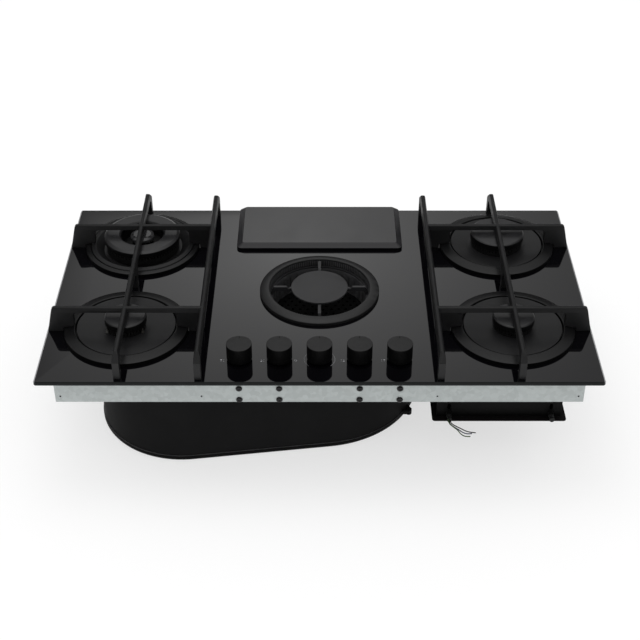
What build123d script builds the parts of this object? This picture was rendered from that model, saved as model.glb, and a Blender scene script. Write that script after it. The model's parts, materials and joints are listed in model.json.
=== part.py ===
"""Gas cooktop, 900 mm wide, with a centre extractor, as separate named pieces.

Millimetres. +X right, +Y to the back, +Z up. The origin is the centre of the
worktop seat: z = 0 is the top of the worktop on which the seal lies.
"""

import math
import os
from dataclasses import dataclass

from build123d import *

os.makedirs("parts", exist_ok=True)

# ---------------------------------------------------------------- driving sizes

# glass and seal
GLASS_WIDTH = 900.0
GLASS_DEPTH = 520.0
GLASS_THICKNESS = 6.0
GLASS_CORNER = 5.0
GLASS_BEVEL = 1.8
SEAL_THICKNESS = 4.0
SEAL_WIDTH = 10.0
SEAL_INSET = 8.0

# sheet-steel tray under the glass
TRAY_SIDE_GAP = 9.0
TRAY_END_GAP = 2.0
TRAY_HEIGHT = 49.5
TRAY_SHEET = 1.0
TRAY_LIP = 14.0
DIMPLE_RADIUS = 1.6
DIMPLE_X = (188.7, 414.5)
DIMPLE_DROP = 38.0
AIR_SLOT_LENGTH = 40.0
AIR_SLOT_WIDTH = 5.0
AIR_SLOT_PITCH = 14.0
AIR_SLOT_OFFSET = 56.0
CABLE_PASS_RADIUS = 8.0
CABLE_PASS_INSET = (28.0, 60.0)

# burner places
BURNER_X = 319.0
BURNER_FRONT_Y = -118.8
BURNER_REAR_Y = 134.2

# pressed dish and raised ring round each burner; heights above the glass
DISH_SHEET = 1.2
DISH_RIM_INSET = 6.0
DISH_FLOOR = 6.0
DISH_CREST = 8.5
DISH_FLAT = 6.0
DISH_GROOVE = 1.8
DISH_ROUND = 0.8
SURROUND_INNER = 83.3
SURROUND_WIDTH = 18.5
SURROUND_EDGE = 6.0
SURROUND_RISE = 4.1
SURROUND_CREST = 2.4
EDGE_BREAK = 0.8
DISH_RIM_PLAY = 0.8
DISH_HOLE_PLAY = 0.6
BURNER_HOLE_MARGIN = 4.5

# burner casting heights, above the glass
CROWN_TOP = 17.0
RAPID_CROWN_TOP = 19.5
CAP_THICKNESS = 12.0
CAP_EDGE = 3.0
CAP_SPIGOT = 4.0
CAP_SPIGOT_WALL = 2.0
CAP_SPIGOT_PLAY = 0.6
CROWN_FOOT = 2.0
CROWN_UNDERCUT = 1.2
CROWN_FLOOR = 3.0
CROWN_FLOOR_SLOPE = 1.5
CROWN_WALL = 6.0
SKIRT_WALL = 2.5
SKIRT_DEPTH = 18.0
SKIRT_PLAY = 0.4
SKIRT_SEAT_GAP = 2.0
PORT_WIDTH = 1.6
PORT_DEPTH = 7.0
CUTTER_HEIGHT = 60.0
CUP_WALL = 3.0
CUP_FLANGE = 8.0
CUP_FLANGE_THICKNESS = 3.0
CUP_BOTTOM = -34.0
CUP_STEP = 4.0
HOLDER_SIDE = 18.0
HOLDER_HEIGHT = 9.0
INJECTOR_HEX = 4.6
INJECTOR_LENGTH = 12.0
INJECTOR_PLAY = 0.2
INJECTOR_JET = 0.6
ELECTRODE_TAIL = 22.0
ELECTRODE_PLAY = 0.3
CERAMIC_RADIUS = 2.5
SPARK_TIP_RADIUS = 0.9
SPARK_TIP_LENGTH = 5.0
SPARK_DROP = 1.5
SPARK_NOTCH = 4.0
PROBE_RADIUS = 1.9
PROBE_NOTCH = 3.2
PROBE_DROP = 2.5
PROBE_TURN = 118.0

# wok burner rings, and its deeper dish with a raised rim of its own
WOK_SURROUND_INNER = 92.8
WOK_DISH_GROOVE = 0.9
WOK_DISH_LAND = 7.9
WOK_DISH_SLOPE = 14.0
WOK_DISH_FLAT = 5.0
WOK_DISH_FLOOR = -2.0
WOK_RING_BORE = 37.5
WOK_CHAMBER_WALL = 3.5
WOK_INNER_CROWN = 19.0
WOK_INNER_TOP = 18.5
WOK_INNER_CAP = 21.5
WOK_INNER_CAP_THICKNESS = 8.0
WOK_INNER_PORTS = 20
WOK_WEB = 3.0
WOK_SPARK_RADIUS = 29.5

# cast pan supports
SUPPORT_TOP = 46.0
BAR_DEPTH = 9.0
BAR_TOP_WIDTH = 6.5
BAR_FOOT_WIDTH = 11.0
SPINE_FRONT_Y = -252.0
SPINE_REAR_Y = 255.0
RAIL_X = 191.5
RAIL_FRONT_Y = -253.0
RAIL_REAR_Y = 250.0
LEG_WIDTH = 12.0
LEG_CORNER = 14.0
MIDDLE_LEG_Y = 7.7
MIDDLE_LEG_FOOT = 14.0
MIDDLE_LEG_TOP = 38.0
OUTER_FOOT_X = 448.0
OUTER_TOP_X = 438.5
OUTER_TOP_CORNER = 3.5
PLATE_INSET = 1.2
PLATE_ROUND = 5.0
LEG_CLEARANCE = 1.5
BAND_CLEARANCE = 1.2

# extractor intake
INTAKE_Y = -9.0
INTAKE_INNER = 85.5
INTAKE_WIDTH = 17.0
INTAKE_CREST = 4.5
INTAKE_EDGE = 6.0
INTAKE_RISE = 4.0
COLLAR_WALL = 3.0
COLLAR_PLAY = 1.0
COLLAR_ENTRY = 4.5
LEDGE_WIDTH = 3.5
LEDGE_DROP = 18.0
COVER_RADIUS = 49.0
COVER_THICKNESS = 3.0
COVER_HOOP_WIDTH = 4.0
COVER_HOOP_HEIGHT = 3.0
SPOKE_WIDTH = 5.0
SPOKE_INNER = 57.0
SPOKE_OUTER = 78.5
SPOKE_DEPTH = 4.0
LUG_REACH = 2.6
FILTER_WALL = 1.2
FILTER_DEPTH = 40.0
FILTER_PLAY = 0.6
FILTER_LIP = 1.6
FILTER_HOLE = 2.4

# raised rear cover over the service opening
REAR_COVER_WIDTH = 298.0
REAR_COVER_DEPTH = 138.5
REAR_COVER_Y = 188.75
REAR_COVER_WALL = 4.9
REAR_COVER_RISE = 6.9
REAR_COVER_SIDE_BEVEL = 10.0
REAR_COVER_FRONT_BEVEL = 8.0
REAR_COVER_REAR_BEVEL = 6.5
REAR_COVER_SHELL = 2.5
REAR_COVER_CORNER = 9.0
SERVICE_WIDTH = 250.0
SERVICE_DEPTH = 96.0
SERVICE_PLAY = 1.0
SERVICE_RIM = 4.0

# control knobs and what they turn
KNOB_X = (-128.4, -64.2, 0.0, 64.2, 128.4)
KNOB_Y = -200.0
KNOB_RADIUS = 20.5
KNOB_GAP = 4.0
KNOB_HEIGHT = 27.5
KNOB_TOP_EDGE = 1.2
KNOB_WALL = 2.5
KNOB_BOSS = 7.0
KNOB_CROWN = 4.0
KNOB_BOSS_LIFT = 3.0
STEM_DROP = 6.0
POINTER_WIDTH = 1.6
POINTER_LENGTH = 6.0
POINTER_DEPTH = 0.6
SPINDLE_RADIUS = 4.0
RUNNING_FIT = 0.05
SPINDLE_HOLE = 7.0
PUSH_TRAVEL = 3.5
VALVE_WIDTH = 26.0
VALVE_REAR_Y = -182.0
VALVE_TOP = -10.0
VALVE_NECK = 9.0
VALVE_NECK_HEIGHT = 5.0
VALVE_FLANGE_RISE = 3.0
VALVE_STEP = 2.0
VALVE_FLOOR_GAP = 0.3
VALVE_FLANGE = 4.0
VALVE_SCREW_DROP = (22.1, 44.5)
PIN_HEAD_Z = -25.0
PIN_HEAD = 2.0
PIN_RADIUS = 2.5
PIN_LENGTH = 9.0
PIN_STOP_GAP = 1.0
SWITCH_SIDE = 32.0
SWITCH_HEIGHT = 18.0
SWITCH_SHAFT_RADIUS = 3.0
SWITCH_FLOOR = 5.0

# gas pipes
MANIFOLD_RADIUS = 8.0
MANIFOLD_Y = -166.0
MANIFOLD_Z = -26.0
MANIFOLD_BEND = 22.0
MANIFOLD_WALL = 2.0
VALVE_BRANCH_RADIUS = 5.5
INLET_X = 404.0
INLET_Y = 200.0
INLET_END_Z = -82.0
INLET_THREAD_RADIUS = 10.48
INLET_THREAD_LENGTH = 16.0
INLET_HEX = 14.0
INLET_HEX_HEIGHT = 8.0
INLET_PLAY = 1.5
PIPE_RADIUS = 3.0
PIPE_BEND = 12.0
PIPE_Z = -38.5
PIPE_LANE_GAP = 19.5
PIPE_LANE_Y = -144.0

# screws
SCREW_HEAD_RADIUS = 5.2
SCREW_HEAD = 2.8
SCREW_HEAD_ROUND = 1.6
SCREW_SLOT = (5.0, 1.1)
SCREW_SLOT_DEPTH = 1.4
SCREW_RADIUS = 2.0
SCREW_LENGTH = 8.0
SCREW_PLAY = 0.3
SCREW_FIT = 0.02

# worktop clamps
CLAMP_Y = 140.0
CLAMP_WIDTH = 30.0
CLAMP_SHEET = 1.5
CLAMP_TOP = -10.0
CLAMP_FOOT_Z = -42.0
CLAMP_REACH = 22.0
CLAMP_LIP = 6.0

# blower casing below the tray
CASING_WALL = 2.0
CASING_UPPER_HEIGHT = 134.5
CASING_LOWER_HEIGHT = 11.5
BLOWER_X = -232.0
BLOWER_Y = -72.0
BLOWER_RADIUS = 147.0
PLENUM_X = -5.0
PLENUM_RADIUS = 178.0
DUCT_WIDTH = 134.0
DUCT_X = -296.0
DUCT_END_Y = 172.0
BASE_STEP = 1.6
BASE_ROUND = 7.0
EAR_ROOT = 11.0
EAR_TIP = 4.0
EAR_REACH = 8.0
EAR_THICKNESS = 4.0
SPIGOT_RADIUS = 62.5
SPIGOT_LENGTH = 45.0
SCROLL_GAP = 4.0
SCROLL_RADIUS = 126.0
SCROLL_HEIGHT = 76.0
SCROLL_DUCT_Y = 8.0
EYE_RADIUS = 66.0
WHEEL_RADIUS = 100.0
WHEEL_BLADE = 14.0
WHEEL_BLADES = 32
WHEEL_BLADE_THICKNESS = 1.6
WHEEL_BLADE_TURN = 28.0
WHEEL_SHEET = 2.0
WHEEL_SHAFT_LENGTH = 30.0
WHEEL_LIFT = 6.0
WHEEL_HEIGHT = 63.0
WHEEL_HUB = 48.0
WHEEL_HUB_HEIGHT = 56.0
MOTOR_RADIUS = 41.0
MOTOR_HEIGHT = 56.0
MOTOR_FLANGE = 45.0
MOTOR_FLANGE_HEIGHT = 3.0
MOTOR_EDGE = 4.0

# electrical box below the tray
BOX_LEFT = 193.0
BOX_RIGHT = 399.0
BOX_FRONT_Y = -205.0
BOX_REAR_Y = -75.0
BOX_SHEET = 1.5
BOX_BOTTOM = -104.0
BOX_COVER = 2.0
BOX_COVER_MARGIN = 7.5
BOX_COVER_FRONT = 12.0
BOX_COVER_CORNER = 5.0
BOX_SLOT = (12.0, 5.0)
GLAND_X = (213.0, 381.0)
GLAND_Z = -97.8
GLAND_RADIUS = 6.0
GLAND_NECK = 5.2
GLAND_LENGTH = 19.0
GLAND_HEX_LENGTH = 9.0
BOX_SLOT_RISE = 13.0

# spark generator
SPARK_BOX = (70.0, 40.0, 24.0)
SPARK_BOX_X = 190.0
SPARK_BOX_Y = 205.0
SPARK_BOX_FOOT = (94.0, 12.0, 3.0)
SPARK_TERMINAL_PITCH = 14.0
SPARK_TERMINAL_RADIUS = 3.5
SPARK_TERMINAL_HEIGHT = 6.0

# bare wires hanging from the left gland: the points of each route
WIRE_RADIUS = 0.9
WIRE_LIVE = (
    (213.7, -224.0, -97.0),
    (213.7, -229.2, -97.0),
    (216.9, -233.2, -98.6),
    (223.2, -235.0, -101.6),
    (231.0, -235.0, -106.2),
    (239.0, -234.0, -112.4),
    (247.6, -232.6, -116.6),
    (256.6, -231.6, -118.4),
)
WIRE_NEUTRAL = (
    (212.3, -224.0, -98.8),
    (212.3, -229.0, -98.8),
    (215.4, -232.8, -100.9),
    (221.2, -234.2, -104.6),
    (228.4, -234.4, -109.8),
    (236.0, -234.0, -116.4),
    (243.8, -232.8, -120.4),
    (250.6, -231.8, -119.8),
)
WIRE_EARTH = (
    (211.0, -224.0, -96.9),
    (211.0, -229.6, -96.9),
    (213.4, -234.6, -98.2),
    (219.2, -237.6, -101.4),
    (225.8, -238.2, -106.8),
    (231.2, -237.8, -115.8),
    (239.2, -236.6, -122.8),
    (247.8, -234.8, -123.6),
)
WIRE_BEND_SHARE = 0.45

# ---------------------------------------------------------------- derived places

glass_bottom = SEAL_THICKNESS
glass_top_z = glass_bottom + GLASS_THICKNESS
tray_width = GLASS_WIDTH - 2 * (SEAL_INSET + SEAL_WIDTH + TRAY_SIDE_GAP)
tray_depth = GLASS_DEPTH - 2 * (SEAL_INSET + SEAL_WIDTH + TRAY_END_GAP)
tray_bottom = glass_bottom - TRAY_HEIGHT
tray_floor = tray_bottom + TRAY_SHEET
tray_front_y = -tray_depth / 2
dish_rim_top = glass_top_z + DISH_SHEET
surround_outer = SURROUND_INNER + SURROUND_WIDTH
dish_rim = surround_outer - DISH_RIM_INSET
dish_edge = SURROUND_INNER - DISH_GROOVE
burner_hole = dish_edge - DISH_SHEET - BURNER_HOLE_MARGIN
wok_dish_edge = WOK_SURROUND_INNER - WOK_DISH_GROOVE
wok_land_inner = wok_dish_edge - WOK_DISH_LAND
wok_slope_foot = wok_land_inner - WOK_DISH_SLOPE
wok_crown_radius = wok_slope_foot - WOK_DISH_FLAT
casing_top = tray_bottom
casing_ceiling = casing_top - CASING_WALL
casing_split = casing_top - CASING_UPPER_HEIGHT
casing_bottom = casing_split - CASING_LOWER_HEIGHT
base_floor = casing_bottom + CASING_WALL
holder_bottom = CUP_BOTTOM - HOLDER_HEIGHT
intake_outer = INTAKE_INNER + INTAKE_WIDTH
collar_outer = INTAKE_INNER + COLLAR_WALL
collar_hole = collar_outer + COLLAR_PLAY
screw_hole = SCREW_RADIUS + SCREW_PLAY
spark_hole = CERAMIC_RADIUS + ELECTRODE_PLAY
probe_hole = PROBE_RADIUS + ELECTRODE_PLAY


@dataclass
class Burner:
    """Place, radii and heights of one burner; spark_turn is the spark's angle in degrees."""

    name: str
    x: float
    y: float
    cap: float
    crown: float
    skirt: float
    ports: int
    spark_radius: float
    spark_turn: float
    crown_top: float
    dish_floor: float
    ring_inner: float

    @property
    def dish_under(self):
        return self.dish_floor - DISH_SHEET

    @property
    def crown_floor(self):
        return self.dish_floor + CROWN_FLOOR


semi_heights = (glass_top_z + CROWN_TOP, glass_top_z + DISH_FLOOR, SURROUND_INNER)
rapid_heights = (glass_top_z + RAPID_CROWN_TOP, glass_top_z + DISH_FLOOR, SURROUND_INNER)
wok_heights = (glass_top_z + CROWN_TOP, glass_top_z + WOK_DISH_FLOOR, WOK_SURROUND_INNER)
left_x = -BURNER_X
semi_left = Burner("front_left", left_x, BURNER_FRONT_Y, 34.5, 32.5, 22.0, 36, 33.5, 211.0, *semi_heights)
semi_right = Burner("front_right", BURNER_X, BURNER_FRONT_Y, 34.5, 32.5, 22.0, 36, 33.5, 31.0, *semi_heights)
rapid = Burner("rapid", BURNER_X, BURNER_REAR_Y, 47.5, 45.5, 32.0, 48, 46.5, 31.0, *rapid_heights)
wok_radii = (wok_crown_radius + 2.5, wok_crown_radius, 22.0)
wok = Burner("wok", left_x, BURNER_REAR_Y, *wok_radii, 72, WOK_SPARK_RADIUS, -27.0, *wok_heights)
burners = (semi_left, semi_right, rapid, wok)


def band_z(radius):
    """Height of the sloping top that the raised rings share, at a radius."""
    share = (surround_outer - radius) / SURROUND_WIDTH
    return glass_top_z + SURROUND_EDGE + SURROUND_RISE * share


def polar(burner, radius, turn):
    """Point at a radius and angle round a burner's centre."""
    angle = math.radians(turn)
    return (burner.x + radius * math.cos(angle), burner.y + radius * math.sin(angle))


def spark_place(burner):
    return polar(burner, burner.spark_radius, burner.spark_turn)


def probe_place(burner):
    return polar(burner, burner.spark_radius, burner.spark_turn + PROBE_TURN)


def save(part, name):
    """Give a finished piece its name and write it."""
    part.label = name
    export_step(part, f"parts/{name}.step")


def turned(x, y, profile):
    """Solid turned from a closed (radius, height) profile about a vertical axis."""
    axis_plane = Plane(origin=(x, y, 0), x_dir=(1, 0, 0), z_dir=(0, -1, 0))
    with BuildPart() as piece:
        with BuildSketch(axis_plane):
            with BuildLine():
                Polyline(*profile, close=True)
            make_face()
        revolve(axis=Axis((x, y, 0), (0, 0, 1)))
    return piece.part


# ---------------------------------------------------------------- glass and seal

with BuildPart() as glass_top:
    with BuildSketch(Plane.XY.offset(glass_bottom)):
        RectangleRounded(GLASS_WIDTH, GLASS_DEPTH, GLASS_CORNER)
        with Locations(*[(b.x, b.y) for b in burners]):
            Circle(burner_hole, mode=Mode.SUBTRACT)
        with Locations((0, INTAKE_Y)):
            Circle(collar_hole, mode=Mode.SUBTRACT)
        with Locations(*[(x, KNOB_Y) for x in KNOB_X]):
            Circle(SPINDLE_HOLE, mode=Mode.SUBTRACT)
        with Locations((0, REAR_COVER_Y)):
            RectangleRounded(SERVICE_WIDTH, SERVICE_DEPTH, REAR_COVER_CORNER, mode=Mode.SUBTRACT)
    extrude(amount=GLASS_THICKNESS)
    rim = glass_top.faces().sort_by(Axis.Z)[-1].outer_wire().edges()
    chamfer(rim, GLASS_BEVEL)
save(glass_top.part, "glass_top")

with BuildPart() as worktop_seal:
    with BuildSketch():
        seal_width = GLASS_WIDTH - 2 * SEAL_INSET
        seal_depth = GLASS_DEPTH - 2 * SEAL_INSET
        Rectangle(seal_width, seal_depth)
        Rectangle(seal_width - 2 * SEAL_WIDTH, seal_depth - 2 * SEAL_WIDTH, mode=Mode.SUBTRACT)
    extrude(amount=SEAL_THICKNESS)
save(worktop_seal.part, "worktop_seal")

# ---------------------------------------------------------------- tray

dimple_places = [(side * x, glass_bottom - DIMPLE_DROP) for x in DIMPLE_X for side in (-1, 1)]
valve_x = [x for x in KNOB_X if x != 0.0]
valve_screw_places = [(x, glass_bottom - drop) for x in valve_x for drop in VALVE_SCREW_DROP]
clamp_screw_z = (CLAMP_TOP + CLAMP_FOOT_Z) / 2
clamp_screw_places = [(y, clamp_screw_z) for y in (-CLAMP_Y, CLAMP_Y)]
cable_pass = (BOX_LEFT + CABLE_PASS_INSET[0], BOX_FRONT_Y + CABLE_PASS_INSET[1])

with BuildPart() as base_tray:
    with BuildSketch(Plane.XY.offset(tray_bottom)):
        Rectangle(tray_width, tray_depth)
    extrude(amount=TRAY_HEIGHT)
    with BuildSketch(Plane.XY.offset(tray_floor)):
        Rectangle(tray_width - 2 * TRAY_SHEET, tray_depth - 2 * TRAY_SHEET)
    extrude(amount=TRAY_HEIGHT - 2 * TRAY_SHEET, mode=Mode.SUBTRACT)
    with BuildSketch(Plane.XY.offset(glass_bottom)):
        Rectangle(tray_width - 2 * TRAY_LIP, tray_depth - 2 * TRAY_LIP)
    extrude(amount=-2 * TRAY_SHEET, mode=Mode.SUBTRACT)
    with BuildSketch(Plane.XY.offset(tray_bottom)):
        with Locations((0, INTAKE_Y)):
            Circle(collar_hole)
        with Locations((INLET_X, INLET_Y)):
            Circle(INLET_THREAD_RADIUS + INLET_PLAY)
        with Locations(cable_pass):
            Circle(CABLE_PASS_RADIUS)
        for burner in burners:
            for side in (-1, 1):
                with Locations((burner.x, burner.y + side * AIR_SLOT_OFFSET)):
                    with GridLocations(1, AIR_SLOT_PITCH, 1, 2):
                        SlotOverall(AIR_SLOT_LENGTH, AIR_SLOT_WIDTH)
    extrude(amount=TRAY_SHEET, mode=Mode.SUBTRACT)
    front = Plane(origin=(0, tray_front_y, 0), x_dir=(1, 0, 0), z_dir=(0, -1, 0))
    with BuildSketch(front):
        with Locations(*valve_screw_places):
            Circle(screw_hole)
        with Locations(*dimple_places):
            Circle(DIMPLE_RADIUS)
    extrude(amount=-TRAY_SHEET, mode=Mode.SUBTRACT)
    side_plane = Plane(origin=(-tray_width / 2, 0, 0), x_dir=(0, 1, 0), z_dir=(1, 0, 0))
    with BuildSketch(side_plane):
        with Locations(*clamp_screw_places):
            Circle(screw_hole)
    extrude(amount=tray_width, mode=Mode.SUBTRACT)
save(base_tray.part, "base_tray")

# clamps that grip the worktop from below, two on each side wall
with BuildPart() as worktop_clamps:
    for side in (-1, 1):
        for y in (-CLAMP_Y, CLAMP_Y):
            clamp_plane = Plane(origin=(0, y, 0), x_dir=(side, 0, 0), z_dir=(0, -side, 0))
            wall_x = tray_width / 2
            with BuildSketch(clamp_plane):
                with BuildLine():
                    Polyline(
                        (wall_x, CLAMP_TOP),
                        (wall_x, CLAMP_FOOT_Z),
                        (wall_x + CLAMP_REACH, CLAMP_FOOT_Z),
                        (wall_x + CLAMP_REACH, CLAMP_FOOT_Z + CLAMP_LIP),
                        (wall_x + CLAMP_REACH - CLAMP_SHEET, CLAMP_FOOT_Z + CLAMP_LIP),
                        (wall_x + CLAMP_REACH - CLAMP_SHEET, CLAMP_FOOT_Z + CLAMP_SHEET),
                        (wall_x + CLAMP_SHEET, CLAMP_FOOT_Z + CLAMP_SHEET),
                        (wall_x + CLAMP_SHEET, CLAMP_TOP),
                        close=True,
                    )
                make_face()
            extrude(amount=CLAMP_WIDTH / 2, both=True)
    with BuildSketch(side_plane.offset(-CLAMP_SHEET)):
        with Locations(*clamp_screw_places):
            Circle(screw_hole)
    extrude(amount=tray_width + 2 * CLAMP_SHEET, mode=Mode.SUBTRACT)
save(worktop_clamps.part, "worktop_clamps")


# ---------------------------------------------------------------- screws


def pan_screw(head_plane):
    """Pan-head screw: the plane lies under the head and faces outwards."""
    with BuildPart() as screw:
        with BuildSketch(head_plane):
            Circle(SCREW_HEAD_RADIUS)
        extrude(amount=SCREW_HEAD)
        outwards = Axis(head_plane.origin, head_plane.z_dir)
        outer_edge = screw.edges().filter_by(GeomType.CIRCLE).sort_by(outwards)[-1]
        fillet(outer_edge, SCREW_HEAD_ROUND)
        with BuildSketch(head_plane.offset(SCREW_HEAD)):
            Rectangle(*SCREW_SLOT)
            Rectangle(*SCREW_SLOT, rotation=90)
        extrude(amount=-SCREW_SLOT_DEPTH, mode=Mode.SUBTRACT)
        with BuildSketch(head_plane):
            Circle(SCREW_RADIUS)
        extrude(amount=-SCREW_LENGTH)
    return screw.part


screw_planes = [
    Plane(origin=(x, tray_front_y, z), x_dir=(1, 0, 0), z_dir=(0, -1, 0)) for x, z in valve_screw_places
]
for side in (-1, 1):
    for y in (-CLAMP_Y, CLAMP_Y):
        clamp_face_x = side * (tray_width / 2 + CLAMP_SHEET)
        screw_planes.append(
            Plane(origin=(clamp_face_x, y, clamp_screw_z), x_dir=(0, 1, 0), z_dir=(side, 0, 0))
        )

with BuildPart() as tray_screws:
    for head_plane in screw_planes:
        add(pan_screw(head_plane))
save(tray_screws.part, "tray_screws")


# ---------------------------------------------------------------- burner dishes and rings


def surround(burner):
    """Raised ring on the glass that holds the dish rim down."""
    inner = burner.ring_inner
    edge = glass_top_z + SURROUND_EDGE
    crest = band_z(inner)
    lip = dish_rim + DISH_RIM_PLAY
    profile = [
        (inner, dish_rim_top),
        (lip, dish_rim_top),
        (lip, glass_top_z),
        (surround_outer, glass_top_z),
        (surround_outer, edge - EDGE_BREAK),
        (surround_outer - EDGE_BREAK, edge),
        (inner + SURROUND_CREST, band_z(inner + SURROUND_CREST)),
        (inner + EDGE_BREAK, crest - EDGE_BREAK / 2),
        (inner, crest - 2 * EDGE_BREAK),
    ]
    return turned(burner.x, burner.y, profile)


def dish(burner):
    """Pressed dish: floor round the crown, raised edge, wall and a flat rim on the glass."""
    hole = burner.skirt + DISH_HOLE_PLAY
    if burner is wok:
        edge = wok_dish_edge
        top = [
            (wok_slope_foot, burner.dish_floor),
            (wok_land_inner - DISH_ROUND, band_z(wok_land_inner) - DISH_ROUND),
            (wok_land_inner + DISH_ROUND, band_z(wok_land_inner + DISH_ROUND)),
            (edge - DISH_ROUND, band_z(edge)),
            (edge, band_z(edge) - DISH_ROUND),
        ]
    else:
        edge = dish_edge
        crest = glass_top_z + DISH_CREST
        top = [
            (burner.crown + DISH_FLAT, burner.dish_floor),
            (edge - DISH_ROUND, crest),
            (edge, crest - DISH_ROUND),
        ]
    under = [(radius, z - DISH_SHEET) for radius, z in top[:-1]]
    under[-1] = (edge - DISH_SHEET, under[-1][1])
    if burner is wok:
        under[0] = (wok_slope_foot + DISH_SHEET / 2, under[0][1])
        under[1] = (wok_land_inner - DISH_ROUND + DISH_SHEET / 2, under[1][1])
    profile = [
        (hole, burner.dish_floor),
        *top,
        (edge, dish_rim_top),
        (dish_rim, dish_rim_top),
        (dish_rim, glass_top_z),
        (edge - DISH_SHEET, glass_top_z),
        *reversed(under),
        (hole, burner.dish_under),
    ]
    return turned(burner.x, burner.y, profile)


for burner in burners:
    with BuildPart() as surround_ring:
        add(surround(burner))
    save(surround_ring.part, f"{burner.name}_surround_ring")

with BuildPart() as burner_dishes:
    for burner in burners:
        add(dish(burner))
        with Locations((*spark_place(burner), burner.dish_under)):
            Cylinder(spark_hole, CUTTER_HEIGHT, mode=Mode.SUBTRACT)
        with Locations((*probe_place(burner), burner.dish_under)):
            Cylinder(probe_hole, CUTTER_HEIGHT, mode=Mode.SUBTRACT)
save(burner_dishes.part, "burner_dishes")


# ---------------------------------------------------------------- burner cups


def cup(burner):
    """Mixing cup under the dish with the injector holder below it."""
    bore = burner.skirt + SKIRT_PLAY
    wall = bore + CUP_WALL
    top = burner.dish_under
    shoulder = burner.dish_floor - SKIRT_DEPTH - SKIRT_SEAT_GAP
    chamber = burner.skirt - CUP_STEP
    flange = wall + CUP_FLANGE
    flange_bottom = top - CUP_FLANGE_THICKNESS
    profile = [
        (INJECTOR_HEX, CUP_BOTTOM),
        (wall, CUP_BOTTOM),
        (wall, flange_bottom),
        (flange, flange_bottom),
        (flange, top),
        (bore, top),
        (bore, shoulder),
        (chamber, shoulder),
        (chamber, CUP_BOTTOM + CUP_WALL),
        (INJECTOR_HEX, CUP_BOTTOM + CUP_WALL),
    ]
    with BuildPart() as body:
        add(turned(burner.x, burner.y, profile))
        with BuildSketch(Plane.XY.offset(holder_bottom)):
            with Locations((burner.x, burner.y)):
                Rectangle(HOLDER_SIDE, HOLDER_SIDE)
        extrude(amount=HOLDER_HEIGHT)
        with Locations((*spark_place(burner), burner.dish_under)):
            Cylinder(spark_hole, CUTTER_HEIGHT, mode=Mode.SUBTRACT)
        with Locations((*probe_place(burner), burner.dish_under)):
            Cylinder(probe_hole, CUTTER_HEIGHT, mode=Mode.SUBTRACT)
    return body.part


with BuildPart() as burner_cups:
    for burner in burners:
        add(cup(burner))
save(burner_cups.part, "burner_cups")

with BuildPart() as injectors:
    for burner in burners:
        with BuildSketch(Plane.XY.offset(CUP_BOTTOM)):
            with Locations((burner.x, burner.y)):
                RegularPolygon(INJECTOR_HEX - INJECTOR_PLAY, 6)
        extrude(amount=INJECTOR_LENGTH)
        with BuildSketch(Plane.XY.offset(CUP_BOTTOM)):
            with Locations((burner.x, burner.y)):
                Circle(INJECTOR_JET)
        extrude(amount=INJECTOR_LENGTH, mode=Mode.SUBTRACT)
save(injectors.part, "injectors")


# ---------------------------------------------------------------- spark plugs and flame probes


def spark_profile(burner):
    """Ceramic insulator with its collar and the bare tip above it."""
    top = burner.crown_top - SPARK_DROP
    ceramic_top = top - SPARK_TIP_LENGTH
    seat = burner.dish_floor
    return [
        (0, seat - ELECTRODE_TAIL),
        (CERAMIC_RADIUS, seat - ELECTRODE_TAIL),
        (CERAMIC_RADIUS, seat),
        (CERAMIC_RADIUS + 0.9, seat),
        (CERAMIC_RADIUS + 0.9, seat + 1.6),
        (CERAMIC_RADIUS, seat + 2.4),
        (CERAMIC_RADIUS, ceramic_top - 0.8),
        (CERAMIC_RADIUS - 0.8, ceramic_top),
        (SPARK_TIP_RADIUS, ceramic_top),
        (SPARK_TIP_RADIUS, top),
        (0, top),
    ]


def probe_profile(burner):
    """Steel flame probe with its locating collar."""
    top = burner.crown_top - PROBE_DROP
    seat = burner.dish_floor
    return [
        (0, seat - ELECTRODE_TAIL),
        (PROBE_RADIUS, seat - ELECTRODE_TAIL),
        (PROBE_RADIUS, seat),
        (PROBE_RADIUS + 0.8, seat),
        (PROBE_RADIUS + 0.8, seat + 2.0),
        (PROBE_RADIUS, seat + 2.6),
        (PROBE_RADIUS, top - 1.6),
        (0.7, top),
        (0, top),
    ]


with BuildPart() as spark_electrodes:
    for burner in burners:
        x, y = spark_place(burner)
        add(turned(x, y, spark_profile(burner)))
save(spark_electrodes.part, "spark_electrodes")

with BuildPart() as thermocouples:
    for burner in burners:
        x, y = probe_place(burner)
        add(turned(x, y, probe_profile(burner)))
save(thermocouples.part, "thermocouples")


# ---------------------------------------------------------------- crowns and caps


def port_slots(burner, radius, wall, count, top):
    """Flame ports: narrow radial slots cut from the top of a ring wall."""
    with BuildPart() as slots:
        with Locations((burner.x, burner.y, top - PORT_DEPTH / 2)):
            with PolarLocations(radius - wall / 2, count):
                Box(wall + 2.0, PORT_WIDTH, PORT_DEPTH)
    return slots.part


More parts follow.
